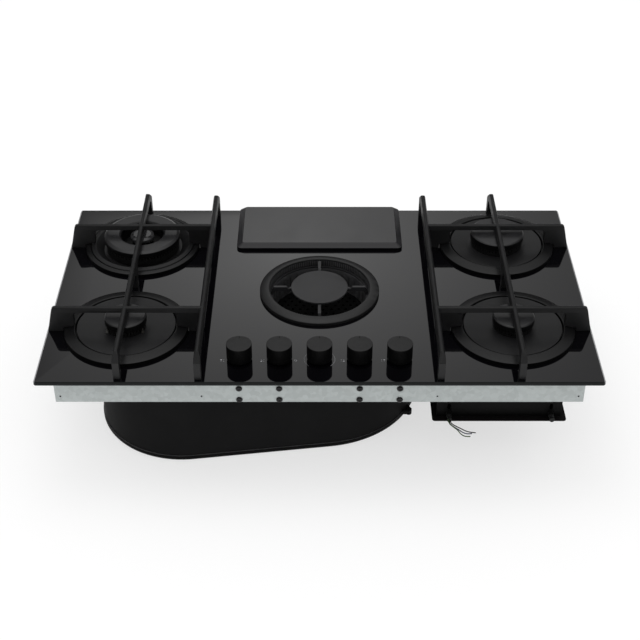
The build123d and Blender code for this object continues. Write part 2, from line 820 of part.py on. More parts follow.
def crown(burner):
    """Flame spreader of a plain burner: skirt, floor with a throat and ported wall."""
    foot = burner.crown - CROWN_UNDERCUT
    inner = burner.crown - CROWN_WALL
    seat = burner.dish_floor
    top = burner.crown_top
    skirt_bottom = seat - SKIRT_DEPTH
    throat = burner.skirt - SKIRT_WALL
    profile = [
        (throat, skirt_bottom),
        (burner.skirt, skirt_bottom),
        (burner.skirt, seat),
        (foot, seat),
        (foot, seat + CROWN_FOOT),
        (burner.crown, seat + CROWN_FOOT + CROWN_UNDERCUT),
        (burner.crown, top),
        (inner, top),
        (inner, burner.crown_floor + CROWN_FLOOR_SLOPE),
        (throat, burner.crown_floor),
    ]
    with BuildPart() as body:
        add(turned(burner.x, burner.y, profile))
        add(port_slots(burner, burner.crown, CROWN_WALL, burner.ports, top), mode=Mode.SUBTRACT)
        with Locations((*spark_place(burner), top)):
            Cylinder(SPARK_NOTCH, CUTTER_HEIGHT, mode=Mode.SUBTRACT)
        with Locations((*probe_place(burner), top)):
            Cylinder(PROBE_NOTCH, CUTTER_HEIGHT, mode=Mode.SUBTRACT)
    return body.part


def cap(burner):
    """Enamelled cap with a locating rim inside the crown."""
    seat = burner.crown_top
    top = seat + CAP_THICKNESS
    rim = burner.crown - CROWN_WALL - CAP_SPIGOT_PLAY
    profile = [
        (0, seat + 3.0),
        (rim - CAP_SPIGOT_WALL, seat + 3.0),
        (rim - CAP_SPIGOT_WALL, seat - CAP_SPIGOT),
        (rim, seat - CAP_SPIGOT),
        (rim, seat),
        (burner.cap - 0.8, seat),
        (burner.cap, seat + 0.8),
        (burner.cap, top - CAP_EDGE),
        (burner.cap - 0.9, top - 0.9),
        (burner.cap - CAP_EDGE, top),
        (0, top),
    ]
    return turned(burner.x, burner.y, profile)


for burner in (semi_left, semi_right, rapid):
    with BuildPart() as flame_crown:
        add(crown(burner))
    save(flame_crown.part, f"{burner.name}_crown")
    with BuildPart() as burner_cap:
        add(cap(burner))
    save(burner_cap.part, f"{burner.name}_cap")

wok_inner_top = glass_top_z + WOK_INNER_TOP
wok_chamber_wall = WOK_RING_BORE + WOK_CHAMBER_WALL
wok_foot = wok.crown - CROWN_UNDERCUT
wok_step = wok.dish_floor + CROWN_FOOT
wok_web = wok.crown_floor + WOK_WEB

with BuildPart() as wok_crown:
    add(
        turned(
            wok.x,
            wok.y,
            [
                (wok.skirt - SKIRT_WALL, wok.dish_floor - SKIRT_DEPTH),
                (wok.skirt, wok.dish_floor - SKIRT_DEPTH),
                (wok.skirt, wok.dish_floor),
                (wok_foot, wok.dish_floor),
                (wok_foot, wok_step),
                (wok.crown, wok_step + CROWN_UNDERCUT),
                (wok.crown, wok.crown_top),
                (wok.crown - CROWN_WALL, wok.crown_top),
                (wok.crown - CROWN_WALL, wok_web),
                (wok_chamber_wall, wok_web),
                (wok_chamber_wall, wok.crown_top),
                (WOK_RING_BORE, wok.crown_top),
                (WOK_RING_BORE, wok_web),
                (WOK_INNER_CROWN, wok_web),
                (WOK_INNER_CROWN, wok_inner_top),
                (WOK_INNER_CROWN - WOK_CHAMBER_WALL, wok_inner_top),
                (WOK_INNER_CROWN - WOK_CHAMBER_WALL, wok.crown_floor),
                (wok.skirt - SKIRT_WALL, wok.crown_floor),
            ],
        )
    )
    add(port_slots(wok, wok.crown, CROWN_WALL, wok.ports, wok.crown_top), mode=Mode.SUBTRACT)
    inner_ports = port_slots(wok, WOK_INNER_CROWN, WOK_CHAMBER_WALL, WOK_INNER_PORTS, wok_inner_top)
    add(inner_ports, mode=Mode.SUBTRACT)
    with Locations((*spark_place(wok), wok.crown_top)):
        Cylinder(SPARK_NOTCH, CUTTER_HEIGHT, mode=Mode.SUBTRACT)
    with Locations((*probe_place(wok), wok.crown_top)):
        Cylinder(PROBE_NOTCH, CUTTER_HEIGHT, mode=Mode.SUBTRACT)
save(wok_crown.part, "wok_crown")

ring_cap_top = wok.crown_top + CAP_THICKNESS
ring_cap_lip = wok.crown - CROWN_WALL - CAP_SPIGOT_PLAY
with BuildPart() as wok_outer_cap:
    add(
        turned(
            wok.x,
            wok.y,
            [
                (WOK_RING_BORE, wok.crown_top),
                (ring_cap_lip - CAP_SPIGOT_WALL, wok.crown_top),
                (ring_cap_lip - CAP_SPIGOT_WALL, wok.crown_top - CAP_SPIGOT),
                (ring_cap_lip, wok.crown_top - CAP_SPIGOT),
                (ring_cap_lip, wok.crown_top),
                (wok.cap - 0.8, wok.crown_top),
                (wok.cap, wok.crown_top + 0.8),
                (wok.cap, ring_cap_top - CAP_EDGE - 1.0),
                (wok.cap - 1.2, ring_cap_top - 1.6),
                (wok.cap - CAP_EDGE - 1.0, ring_cap_top - 0.6),
                (wok.cap - CAP_EDGE - 6.0, ring_cap_top),
                (WOK_RING_BORE + 9.0, ring_cap_top - 0.6),
                (WOK_RING_BORE + 2.0, ring_cap_top - 4.0),
                (WOK_RING_BORE, ring_cap_top - 6.0),
            ],
        )
    )
save(wok_outer_cap.part, "wok_outer_cap")

inner_cap_top = wok_inner_top + WOK_INNER_CAP_THICKNESS
inner_lip = WOK_INNER_CROWN - WOK_CHAMBER_WALL - CAP_SPIGOT_PLAY
with BuildPart() as wok_inner_cap:
    add(
        turned(
            wok.x,
            wok.y,
            [
                (0, wok_inner_top - CAP_SPIGOT),
                (inner_lip, wok_inner_top - CAP_SPIGOT),
                (inner_lip, wok_inner_top),
                (WOK_INNER_CAP - 0.6, wok_inner_top),
                (WOK_INNER_CAP, wok_inner_top + 0.6),
                (WOK_INNER_CAP, inner_cap_top - 3.4),
                (WOK_INNER_CAP - 1.2, inner_cap_top - 1.6),
                (WOK_INNER_CAP - 4.0, inner_cap_top - 0.4),
                (WOK_INNER_CAP - 9.0, inner_cap_top),
                (0, inner_cap_top),
            ],
        )
    )
save(wok_inner_cap.part, "wok_inner_cap")

# ---------------------------------------------------------------- pan supports

support_top_z = glass_top_z + SUPPORT_TOP
bar_bottom = support_top_z - BAR_DEPTH


def tapered_prism(plane, length):
    """Long prism, narrow at the top of the bars and wide from their underside down."""
    half_top = BAR_TOP_WIDTH / 2
    half_foot = BAR_FOOT_WIDTH / 2
    with BuildPart() as prism:
        with BuildSketch(plane):
            with BuildLine():
                Polyline(
                    (-half_foot, glass_top_z),
                    (half_foot, glass_top_z),
                    (half_foot, bar_bottom),
                    (half_top, support_top_z),
                    (-half_top, support_top_z),
                    (-half_foot, bar_bottom),
                    close=True,
                )
            make_face()
        extrude(amount=length / 2, both=True)
    return prism.part


def lengthwise_blade(x, front, rear, middle_leg):
    """Bar along Y with a leg at each end and, on the spine, one between the burners."""
    over_ring = glass_top_z + SURROUND_EDGE + SURROUND_RISE + LEG_CLEARANCE
    with BuildPart() as blade:
        with BuildSketch(Plane(origin=(x, 0, 0), x_dir=(0, 1, 0), z_dir=(1, 0, 0))):
            with BuildLine():
                Polyline(
                    (front, glass_top_z),
                    (front, support_top_z - LEG_CORNER),
                    (front + LEG_CORNER, support_top_z),
                    (rear - LEG_CORNER, support_top_z),
                    (rear, support_top_z - LEG_CORNER),
                    (rear, glass_top_z),
                    (rear - LEG_WIDTH, glass_top_z),
                    (rear - LEG_WIDTH, over_ring),
                    (rear - LEG_WIDTH - 3.0, bar_bottom - 8.0),
                    (rear - LEG_WIDTH - 12.0, bar_bottom),
                    (front + LEG_WIDTH + 12.0, bar_bottom),
                    (front + LEG_WIDTH + 3.0, bar_bottom - 8.0),
                    (front + LEG_WIDTH, over_ring),
                    (front + LEG_WIDTH, glass_top_z),
                    close=True,
                )
            make_face()
            if middle_leg:
                with BuildLine():
                    Polyline(
                        (MIDDLE_LEG_Y - MIDDLE_LEG_FOOT / 2, glass_top_z),
                        (MIDDLE_LEG_Y + MIDDLE_LEG_FOOT / 2, glass_top_z),
                        (MIDDLE_LEG_Y + MIDDLE_LEG_FOOT / 2 + 3.0, bar_bottom - 10.0),
                        (MIDDLE_LEG_Y + MIDDLE_LEG_TOP / 2, bar_bottom + 1.0),
                        (MIDDLE_LEG_Y - MIDDLE_LEG_TOP / 2, bar_bottom + 1.0),
                        (MIDDLE_LEG_Y - MIDDLE_LEG_FOOT / 2 - 3.0, bar_bottom - 10.0),
                        close=True,
                    )
                make_face()
        extrude(amount=BAR_FOOT_WIDTH, both=True)
        across = Plane(origin=(x, 0, 0), x_dir=(1, 0, 0), z_dir=(0, -1, 0))
        add(tapered_prism(across, 2 * GLASS_DEPTH), mode=Mode.INTERSECT)
    return blade.part


def crosswise_blade(side, y):
    """Bar along X with a plate at each end that reaches over the ring and down to the glass."""
    band_inner = SURROUND_INNER + PLATE_INSET
    band_outer = surround_outer + LEG_CLEARANCE
    band_low = band_z(surround_outer) + BAND_CLEARANCE
    band_high = band_z(band_inner) + BAND_CLEARANCE
    plane = Plane(origin=(0, y, 0), x_dir=(side, 0, 0), z_dir=(0, -side, 0))
    with BuildPart() as blade:
        with BuildSketch(plane):
            with BuildLine():
                Polyline(
                    (RAIL_X, support_top_z),
                    (OUTER_TOP_X - OUTER_TOP_CORNER, support_top_z),
                    (OUTER_TOP_X, support_top_z - OUTER_TOP_CORNER),
                    (OUTER_FOOT_X, glass_top_z),
                    (BURNER_X + band_outer, glass_top_z),
                    (BURNER_X + band_outer, band_low),
                    (BURNER_X + surround_outer, band_low),
                    (BURNER_X + band_inner, band_high),
                    (BURNER_X + band_inner, bar_bottom - PLATE_ROUND),
                    (BURNER_X + band_inner - PLATE_ROUND, bar_bottom),
                    (BURNER_X - band_inner + PLATE_ROUND, bar_bottom),
                    (BURNER_X - band_inner, bar_bottom - PLATE_ROUND),
                    (BURNER_X - band_inner, band_high),
                    (BURNER_X - surround_outer, band_low),
                    (BURNER_X - band_outer, band_low),
                    (BURNER_X - band_outer, glass_top_z),
                    (RAIL_X, glass_top_z),
                    close=True,
                )
            make_face()
        extrude(amount=BAR_FOOT_WIDTH, both=True)
        along = Plane(origin=(side * BURNER_X, y, 0), x_dir=(0, 1, 0), z_dir=(1, 0, 0))
        add(tapered_prism(along, GLASS_WIDTH), mode=Mode.INTERSECT)
    return blade.part


for side, support_name in ((-1, "left_pan_support"), (1, "right_pan_support")):
    with BuildPart() as pan_support:
        add(lengthwise_blade(side * BURNER_X, SPINE_FRONT_Y, SPINE_REAR_Y, True))
        add(lengthwise_blade(side * RAIL_X, RAIL_FRONT_Y, RAIL_REAR_Y, False))
        add(crosswise_blade(side, BURNER_FRONT_Y))
        add(crosswise_blade(side, BURNER_REAR_Y))
    save(pan_support.part, support_name)

# ---------------------------------------------------------------- extractor intake

intake_edge = glass_top_z + INTAKE_EDGE
intake_crest = intake_edge + INTAKE_RISE
ledge_z = intake_crest - LEDGE_DROP
collar_inner = INTAKE_INNER - LEDGE_WIDTH
collar_bottom = casing_ceiling - COLLAR_ENTRY

with BuildPart() as intake_ring:
    add(
        turned(
            0,
            INTAKE_Y,
            [
                (collar_inner, collar_bottom),
                (collar_outer, collar_bottom),
                (collar_outer, glass_top_z),
                (intake_outer, glass_top_z),
                (intake_outer, intake_edge - EDGE_BREAK),
                (intake_outer - EDGE_BREAK, intake_edge),
                (INTAKE_INNER + INTAKE_CREST, intake_crest),
                (INTAKE_INNER + 1.2, intake_crest - 0.3),
                (INTAKE_INNER, intake_crest - 1.6),
                (INTAKE_INNER, ledge_z),
                (collar_inner, ledge_z),
            ],
        )
    )
save(intake_ring.part, "intake_ring")

filter_wall = collar_inner - FILTER_PLAY
filter_rim = INTAKE_INNER - FILTER_PLAY
filter_floor = ledge_z - FILTER_DEPTH
with BuildPart() as grease_filter:
    add(
        turned(
            0,
            INTAKE_Y,
            [
                (0, filter_floor),
                (filter_wall, filter_floor),
                (filter_wall, ledge_z),
                (filter_rim, ledge_z),
                (filter_rim, ledge_z + FILTER_LIP),
                (filter_wall - FILTER_WALL, ledge_z + FILTER_LIP),
                (filter_wall - FILTER_WALL, filter_floor + FILTER_WALL),
                (0, filter_floor + FILTER_WALL),
            ],
        )
    )
    with BuildSketch(Plane.XY.offset(filter_floor)):
        with Locations((0, INTAKE_Y)):
            for radius, count in ((12.0, 6), (24.0, 12), (36.0, 18), (48.0, 24), (60.0, 30), (70.0, 36)):
                with PolarLocations(radius, count):
                    Circle(FILTER_HOLE)
    extrude(amount=FILTER_WALL, mode=Mode.SUBTRACT)
    with Locations((0, INTAKE_Y, (filter_floor + ledge_z) / 2)):
        with PolarLocations(filter_wall, 36):
            Box(6.0, 4.0, FILTER_DEPTH - 12.0, mode=Mode.SUBTRACT)
save(grease_filter.part, "grease_filter")

hoop_bottom = ledge_z + FILTER_LIP
hoop_top = hoop_bottom + COVER_HOOP_HEIGHT
hoop_outer = INTAKE_INNER - FILTER_PLAY
cover_top = intake_crest
with BuildPart() as intake_cover:
    with BuildSketch(Plane.XY.offset(cover_top - COVER_THICKNESS)):
        with Locations((0, INTAKE_Y)):
            Circle(COVER_RADIUS)
    extrude(amount=COVER_THICKNESS)
    fillet(intake_cover.faces().sort_by(Axis.Z)[-1].edges(), 1.2)
    with BuildSketch(Plane.XY.offset(hoop_bottom)):
        with Locations((0, INTAKE_Y)):
            Circle(hoop_outer)
            Circle(hoop_outer - COVER_HOOP_WIDTH, mode=Mode.SUBTRACT)
    extrude(amount=hoop_top - hoop_bottom)
    for turn in (0, 90, 180, 270):
        along = (math.cos(math.radians(turn)), math.sin(math.radians(turn)), 0)
        spoke_plane = Plane(origin=(0, INTAKE_Y, 0), x_dir=along, z_dir=(along[1], -along[0], 0))
        with BuildSketch(spoke_plane):
            with BuildLine():
                Polyline(
                    (COVER_RADIUS - 6.0, cover_top - COVER_THICKNESS + 1.0),
                    (SPOKE_INNER - 4.0, cover_top - SPOKE_DEPTH),
                    (SPOKE_INNER, cover_top),
                    (SPOKE_OUTER, cover_top),
                    (SPOKE_OUTER + 3.0, cover_top - SPOKE_DEPTH),
                    (hoop_outer - 0.6, hoop_top),
                    (hoop_outer - 0.6, hoop_bottom),
                    (hoop_outer - COVER_HOOP_WIDTH, hoop_bottom),
                    (SPOKE_OUTER - 3.0, cover_top - 2 * SPOKE_DEPTH),
                    (COVER_RADIUS - 6.0, cover_top - 2 * SPOKE_DEPTH),
                    close=True,
                )
            make_face()
        extrude(amount=SPOKE_WIDTH / 2, both=True)
    for side in (-1, 1):
        with Locations((side * COVER_RADIUS, INTAKE_Y - 3.0, cover_top - COVER_THICKNESS / 2)):
            Cylinder(LUG_REACH, COVER_THICKNESS - 0.6)
save(intake_cover.part, "intake_cover")

# ---------------------------------------------------------------- rear cover

cover_wall_top = glass_top_z + REAR_COVER_WALL
cover_crest = cover_wall_top + REAR_COVER_RISE
cover_top_y = REAR_COVER_Y + (REAR_COVER_FRONT_BEVEL - REAR_COVER_REAR_BEVEL) / 2
cover_top_width = REAR_COVER_WIDTH - 2 * REAR_COVER_SIDE_BEVEL
cover_top_depth = REAR_COVER_DEPTH - REAR_COVER_FRONT_BEVEL - REAR_COVER_REAR_BEVEL

with BuildPart() as rear_cover:
    with BuildSketch(Plane.XY.offset(glass_top_z)):
        with Locations((0, REAR_COVER_Y)):
            RectangleRounded(REAR_COVER_WIDTH, REAR_COVER_DEPTH, REAR_COVER_CORNER)
    extrude(amount=REAR_COVER_WALL)
    with BuildSketch(Plane.XY.offset(cover_wall_top)):
        with Locations((0, REAR_COVER_Y)):
            RectangleRounded(REAR_COVER_WIDTH, REAR_COVER_DEPTH, REAR_COVER_CORNER)
    with BuildSketch(Plane.XY.offset(cover_crest)):
        with Locations((0, cover_top_y)):
            RectangleRounded(cover_top_width, cover_top_depth, REAR_COVER_CORNER / 2)
    loft()
    with BuildSketch(Plane.XY.offset(glass_top_z)):
        with Locations((0, cover_top_y)):
            RectangleRounded(
                cover_top_width - 2 * REAR_COVER_SHELL,
                cover_top_depth - 2 * REAR_COVER_SHELL,
                REAR_COVER_CORNER / 2,
            )
    extrude(amount=REAR_COVER_WALL + REAR_COVER_RISE - REAR_COVER_SHELL, mode=Mode.SUBTRACT)
    rim_width = SERVICE_WIDTH - 2 * SERVICE_PLAY
    rim_depth = SERVICE_DEPTH - 2 * SERVICE_PLAY
    rim_corner = REAR_COVER_CORNER - SERVICE_PLAY
    with BuildSketch(Plane.XY.offset(glass_top_z - SERVICE_RIM)):
        with Locations((0, REAR_COVER_Y)):
            RectangleRounded(rim_width, rim_depth, rim_corner)
            RectangleRounded(
                rim_width - 2 * REAR_COVER_SHELL,
                rim_depth - 2 * REAR_COVER_SHELL,
                rim_corner - REAR_COVER_SHELL,
                mode=Mode.SUBTRACT,
            )
    extrude(amount=SERVICE_RIM + REAR_COVER_WALL + REAR_COVER_RISE - REAR_COVER_SHELL / 2)
save(rear_cover.part, "rear_cover")

# ---------------------------------------------------------------- knobs, spindles, valves

knob_bottom = glass_top_z + KNOB_GAP
knob_top = knob_bottom + KNOB_HEIGHT
boss_bottom = knob_bottom + KNOB_BOSS_LIFT
stem_top = knob_top - STEM_DROP
knob_names = ("rear_left", "front_left", "fan", "front_right", "rear_right")


def knob(x, stem_radius):
    """Hollow round knob with a boss on its stem and a pointer groove at the rear."""
    profile = [
        (stem_radius, boss_bottom),
        (KNOB_BOSS, boss_bottom),
        (KNOB_BOSS, knob_top - KNOB_CROWN),
        (KNOB_RADIUS - KNOB_WALL, knob_top - KNOB_CROWN),
        (KNOB_RADIUS - KNOB_WALL, knob_bottom),
        (KNOB_RADIUS - 0.5, knob_bottom),
        (KNOB_RADIUS, knob_bottom + 0.5),
        (KNOB_RADIUS, knob_top - KNOB_TOP_EDGE),
        (KNOB_RADIUS - 0.35, knob_top - 0.35),
        (KNOB_RADIUS - KNOB_TOP_EDGE, knob_top),
        (0, knob_top),
        (0, stem_top),
        (stem_radius, stem_top),
    ]
    with BuildPart() as body:
        add(turned(x, KNOB_Y, profile))
        with BuildSketch(Plane.XY.offset(knob_top)):
            with Locations((x, KNOB_Y + KNOB_RADIUS - POINTER_LENGTH / 2)):
                Rectangle(POINTER_WIDTH, POINTER_LENGTH)
        extrude(amount=-POINTER_DEPTH, mode=Mode.SUBTRACT)
    return body.part


for x, knob_name in zip(KNOB_X, knob_names):
    stem_radius = SWITCH_SHAFT_RADIUS if knob_name == "fan" else SPINDLE_RADIUS
    with BuildPart() as control_knob:
        add(knob(x, stem_radius))
    save(control_knob.part, f"{knob_name}_knob")

valve_bore = SPINDLE_RADIUS + RUNNING_FIT
pin_shoulder = PIN_HEAD_Z - PIN_HEAD - PUSH_TRAVEL - PIN_STOP_GAP
switch_bottom = glass_bottom - SWITCH_HEIGHT
switch_shaft_bottom = switch_bottom + SWITCH_FLOOR

for x, knob_name in zip(KNOB_X, knob_names):
    is_fan = knob_name == "fan"
    radius = SWITCH_SHAFT_RADIUS if is_fan else SPINDLE_RADIUS
    low = switch_shaft_bottom if is_fan else PIN_HEAD_Z
    with BuildPart() as spindle:
        with BuildSketch(Plane.XY.offset(low)):
            with Locations((x, KNOB_Y)):
                Circle(radius)
        extrude(amount=stem_top - low)
    save(spindle.part, f"{knob_name}_spindle")
    if not is_fan:
        with BuildPart() as push_pin:
            add(
                turned(
                    x,
                    KNOB_Y,
                    [
                        (0, PIN_HEAD_Z - PIN_HEAD - PIN_LENGTH),
                        (PIN_RADIUS, PIN_HEAD_Z - PIN_HEAD - PIN_LENGTH),
                        (PIN_RADIUS, PIN_HEAD_Z - PIN_HEAD),
                        (SPINDLE_RADIUS, PIN_HEAD_Z - PIN_HEAD),
                        (SPINDLE_RADIUS, PIN_HEAD_Z),
                        (0, PIN_HEAD_Z),
                    ],
                )
            )
        save(push_pin.part, f"{knob_name}_push_pin")

valve_bottom = tray_floor + VALVE_FLOOR_GAP
valve_front_y = tray_front_y + TRAY_SHEET
with BuildPart() as gas_valves:
    for x in valve_x:
        body_depth = VALVE_REAR_Y - valve_front_y
        with BuildSketch(Plane.XY.offset(valve_bottom + VALVE_STEP)):
            with Locations((x, valve_front_y + body_depth / 2)):
                Rectangle(VALVE_WIDTH - 2 * VALVE_STEP, body_depth)
        extrude(amount=VALVE_TOP - valve_bottom - VALVE_STEP)
        with BuildSketch(Plane.XY.offset(valve_bottom)):
            with Locations((x, valve_front_y + VALVE_FLANGE / 2)):
                Rectangle(VALVE_WIDTH, VALVE_FLANGE)
        extrude(amount=VALVE_TOP - valve_bottom + VALVE_FLANGE_RISE)
        with BuildSketch(Plane.XY.offset(VALVE_TOP)):
            with Locations((x, KNOB_Y)):
                Circle(VALVE_NECK)
        extrude(amount=VALVE_NECK_HEIGHT)
        with BuildSketch(Plane.XY.offset(pin_shoulder)):
            with Locations((x, KNOB_Y)):
                Circle(valve_bore)
        extrude(amount=VALVE_TOP + VALVE_NECK_HEIGHT - pin_shoulder, mode=Mode.SUBTRACT)
        with BuildSketch(Plane.XY.offset(valve_bottom)):
            with Locations((x, KNOB_Y)):
                Circle(PIN_RADIUS + RUNNING_FIT)
        extrude(amount=pin_shoulder - valve_bottom, mode=Mode.SUBTRACT)
    with BuildSketch(Plane(origin=(0, valve_front_y, 0), x_dir=(1, 0, 0), z_dir=(0, -1, 0))):
        with Locations(*valve_screw_places):
            Circle(SCREW_RADIUS + SCREW_FIT)
    extrude(amount=-SCREW_LENGTH - 1.0, mode=Mode.SUBTRACT)
save(gas_valves.part, "gas_valves")

with BuildPart() as fan_switch:
    with BuildSketch(Plane.XY.offset(switch_bottom)):
        with Locations((0, KNOB_Y)):
            RectangleRounded(SWITCH_SIDE, SWITCH_SIDE, 3.0)
    extrude(amount=SWITCH_HEIGHT)
    with BuildSketch(Plane.XY.offset(switch_shaft_bottom)):
        with Locations((0, KNOB_Y)):
            Circle(SWITCH_SHAFT_RADIUS + RUNNING_FIT)
    extrude(amount=SWITCH_HEIGHT, mode=Mode.SUBTRACT)
save(fan_switch.part, "fan_switch")

# ---------------------------------------------------------------- gas pipes

with BuildPart() as gas_manifold:
    manifold_start = (valve_x[0] - VALVE_WIDTH, MANIFOLD_Y, MANIFOLD_Z)
    with BuildLine():
        FilletPolyline(
            manifold_start,
            (INLET_X, MANIFOLD_Y, MANIFOLD_Z),
            (INLET_X, INLET_Y, MANIFOLD_Z),
            (INLET_X, INLET_Y, INLET_END_Z + INLET_THREAD_LENGTH),
            radius=MANIFOLD_BEND,
        )
    with BuildSketch(Plane(origin=manifold_start, x_dir=(0, 1, 0), z_dir=(1, 0, 0))):
        Circle(MANIFOLD_RADIUS)
    sweep()
    for x in valve_x:
        with BuildSketch(Plane(origin=(x, VALVE_REAR_Y, MANIFOLD_Z), x_dir=(1, 0, 0), z_dir=(0, 1, 0))):
            Circle(VALVE_BRANCH_RADIUS)
        extrude(amount=MANIFOLD_Y - VALVE_REAR_Y)
    with BuildSketch(Plane.XY.offset(INLET_END_Z)):
        with Locations((INLET_X, INLET_Y)):
            Circle(INLET_THREAD_RADIUS)
    extrude(amount=INLET_THREAD_LENGTH)
    with BuildSketch(Plane.XY.offset(INLET_END_Z + INLET_THREAD_LENGTH)):
        with Locations((INLET_X, INLET_Y)):
            RegularPolygon(INLET_HEX, 6)
    extrude(amount=INLET_HEX_HEIGHT)
    with BuildSketch(Plane.XY.offset(INLET_END_Z)):
        with Locations((INLET_X, INLET_Y)):
            Circle(MANIFOLD_RADIUS - MANIFOLD_WALL)
    extrude(amount=INLET_THREAD_LENGTH, mode=Mode.SUBTRACT)
save(gas_manifold.part, "gas_manifold")

pipe_lane_x = collar_outer + PIPE_LANE_GAP
pipe_routes = []
for side in (-1, 1):
    front_x = side * abs(KNOB_X[1])
    rear_x = side * abs(KNOB_X[0])
    holder_x = side * (BURNER_X - HOLDER_SIDE / 2)
    pipe_routes.append(
        (
            (rear_x, VALVE_REAR_Y, PIPE_Z),
            (rear_x, BURNER_FRONT_Y, PIPE_Z),
            (holder_x, BURNER_FRONT_Y, PIPE_Z),
        )
    )
    pipe_routes.append(
        (
            (front_x, VALVE_REAR_Y, PIPE_Z),
            (front_x, PIPE_LANE_Y, PIPE_Z),
            (side * pipe_lane_x, PIPE_LANE_Y, PIPE_Z),
            (side * pipe_lane_x, BURNER_REAR_Y, PIPE_Z),
            (holder_x, BURNER_REAR_Y, PIPE_Z),
        )
    )

with BuildPart() as burner_pipes:
    for route in pipe_routes:
        with BuildLine() as centre_line:
            FilletPolyline(*route, radius=PIPE_BEND)
        with BuildSketch(Plane(origin=route[0], x_dir=(1, 0, 0), z_dir=(0, 1, 0))):
            Circle(PIPE_RADIUS)
        sweep(path=centre_line.line)
save(burner_pipes.part, "burner_pipes")

with BuildPart() as ignition_generator:
    with BuildSketch(Plane.XY.offset(tray_floor)):
        with Locations((SPARK_BOX_X, SPARK_BOX_Y)):
            RectangleRounded(SPARK_BOX[0], SPARK_BOX[1], 3.0)
    extrude(amount=SPARK_BOX[2])
    with BuildSketch(Plane.XY.offset(tray_floor)):
        with Locations((SPARK_BOX_X, SPARK_BOX_Y)):
            SlotOverall(SPARK_BOX_FOOT[0], SPARK_BOX_FOOT[1])
    extrude(amount=SPARK_BOX_FOOT[2])
    with BuildSketch(Plane.XY.offset(tray_floor + SPARK_BOX[2])):
        with Locations((SPARK_BOX_X, SPARK_BOX_Y)):
            with GridLocations(SPARK_TERMINAL_PITCH, 1, len(burners), 1):
                Circle(SPARK_TERMINAL_RADIUS)
    extrude(amount=SPARK_TERMINAL_HEIGHT)
save(ignition_generator.part, "ignition_generator")

# ---------------------------------------------------------------- blower


def casing_plan(z, inset, duct_inset):
    """Outline of the casing: hull of blower and plenum circles, and the outlet duct."""
    duct_front = BLOWER_Y
    duct_length = DUCT_END_Y - duct_inset - duct_front
    with BuildSketch(Plane.XY.offset(z)) as plan:
        with Locations((BLOWER_X, BLOWER_Y)):
            Circle(BLOWER_RADIUS - inset)
        with Locations((PLENUM_X, INTAKE_Y)):
            Circle(PLENUM_RADIUS - inset)
        make_hull()
        with Locations((DUCT_X, duct_front + duct_length / 2)):
            Rectangle(DUCT_WIDTH - 2 * duct_inset, duct_length)
    return plan.sketch


ear_places = (
    (PLENUM_X, INTAKE_Y, PLENUM_RADIUS, -30.0),
    (PLENUM_X, INTAKE_Y, PLENUM_RADIUS, 40.0),
    (PLENUM_X, INTAKE_Y, PLENUM_RADIUS, 100.0),
    (BLOWER_X, BLOWER_Y, BLOWER_RADIUS, 162.0),
)


def ears(z):
    """Screw ears round the casing: tabs that narrow outwards from a root in the wall."""
    with BuildSketch(Plane.XY.offset(z)) as plan:
        for centre_x, centre_y, radius, turn in ear_places:
            with Locations(Location((centre_x, centre_y, 0), (0, 0, turn))):
                with BuildLine(mode=Mode.PRIVATE) as outline:
                    Polyline(
                        (radius - CASING_WALL / 2, -EAR_ROOT),
                        (radius + EAR_REACH + EAR_TIP, -EAR_TIP),
                        (radius + EAR_REACH + EAR_TIP, EAR_TIP),
                        (radius - CASING_WALL / 2, EAR_ROOT),
                        close=True,
                    )
                tab = make_face(outline.line, mode=Mode.PRIVATE)
                add(tab)
                with Locations((radius + EAR_REACH, 0)):
                    Circle(SCREW_RADIUS + SCREW_FIT, mode=Mode.SUBTRACT)
    return plan.sketch


spigot_z = (casing_ceiling + casing_split) / 2

with BuildPart() as casing_upper:
    add(casing_plan(casing_split, 0, 0))
    extrude(amount=casing_top - casing_split)
    add(ears(casing_split))
    extrude(amount=EAR_THICKNESS)
    add(casing_plan(casing_split, CASING_WALL, CASING_WALL))
    extrude(amount=casing_ceiling - casing_split, mode=Mode.SUBTRACT)
    with BuildSketch(Plane.XY.offset(casing_top)):
        with Locations((0, INTAKE_Y)):
            Circle(collar_outer + 0.5)
    extrude(amount=-CASING_WALL, mode=Mode.SUBTRACT)
    duct_face = Plane(origin=(DUCT_X, DUCT_END_Y, spigot_z), x_dir=(-1, 0, 0), z_dir=(0, 1, 0))
    with BuildSketch(duct_face):
        Circle(SPIGOT_RADIUS)
    extrude(amount=SPIGOT_LENGTH)
    with BuildSketch(duct_face.offset(-CASING_WALL)):
        Circle(SPIGOT_RADIUS - CASING_WALL)
    extrude(amount=SPIGOT_LENGTH + CASING_WALL, mode=Mode.SUBTRACT)
save(casing_upper.part, "casing_upper")

with BuildPart() as base_hollow:
    add(casing_plan(base_floor, CASING_WALL - BASE_STEP, CASING_WALL - BASE_STEP))
    extrude(amount=casing_split - base_floor)
    fillet(base_hollow.faces().sort_by(Axis.Z)[0].edges(), BASE_ROUND - CASING_WALL)

with BuildPart() as casing_lower:
    add(casing_plan(casing_bottom, -BASE_STEP, -BASE_STEP))
    extrude(amount=casing_split - casing_bottom)
    fillet(casing_lower.faces().sort_by(Axis.Z)[0].edges(), BASE_ROUND)
    add(base_hollow.part, mode=Mode.SUBTRACT)
    add(ears(casing_split))
    extrude(amount=-EAR_THICKNESS)
save(casing_lower.part, "casing_lower")

with BuildPart() as casing_screws:
    for centre_x, centre_y, radius, turn in ear_places:
        screw_reach = radius + EAR_REACH
        screw_x = centre_x + screw_reach * math.cos(math.radians(turn))
        screw_y = centre_y + screw_reach * math.sin(math.radians(turn))
        screw_seat = (screw_x, screw_y, casing_split - EAR_THICKNESS)
        add(pan_screw(Plane(origin=screw_seat, x_dir=(1, 0, 0), z_dir=(0, 0, -1))))
save(casing_screws.part, "casing_screws")

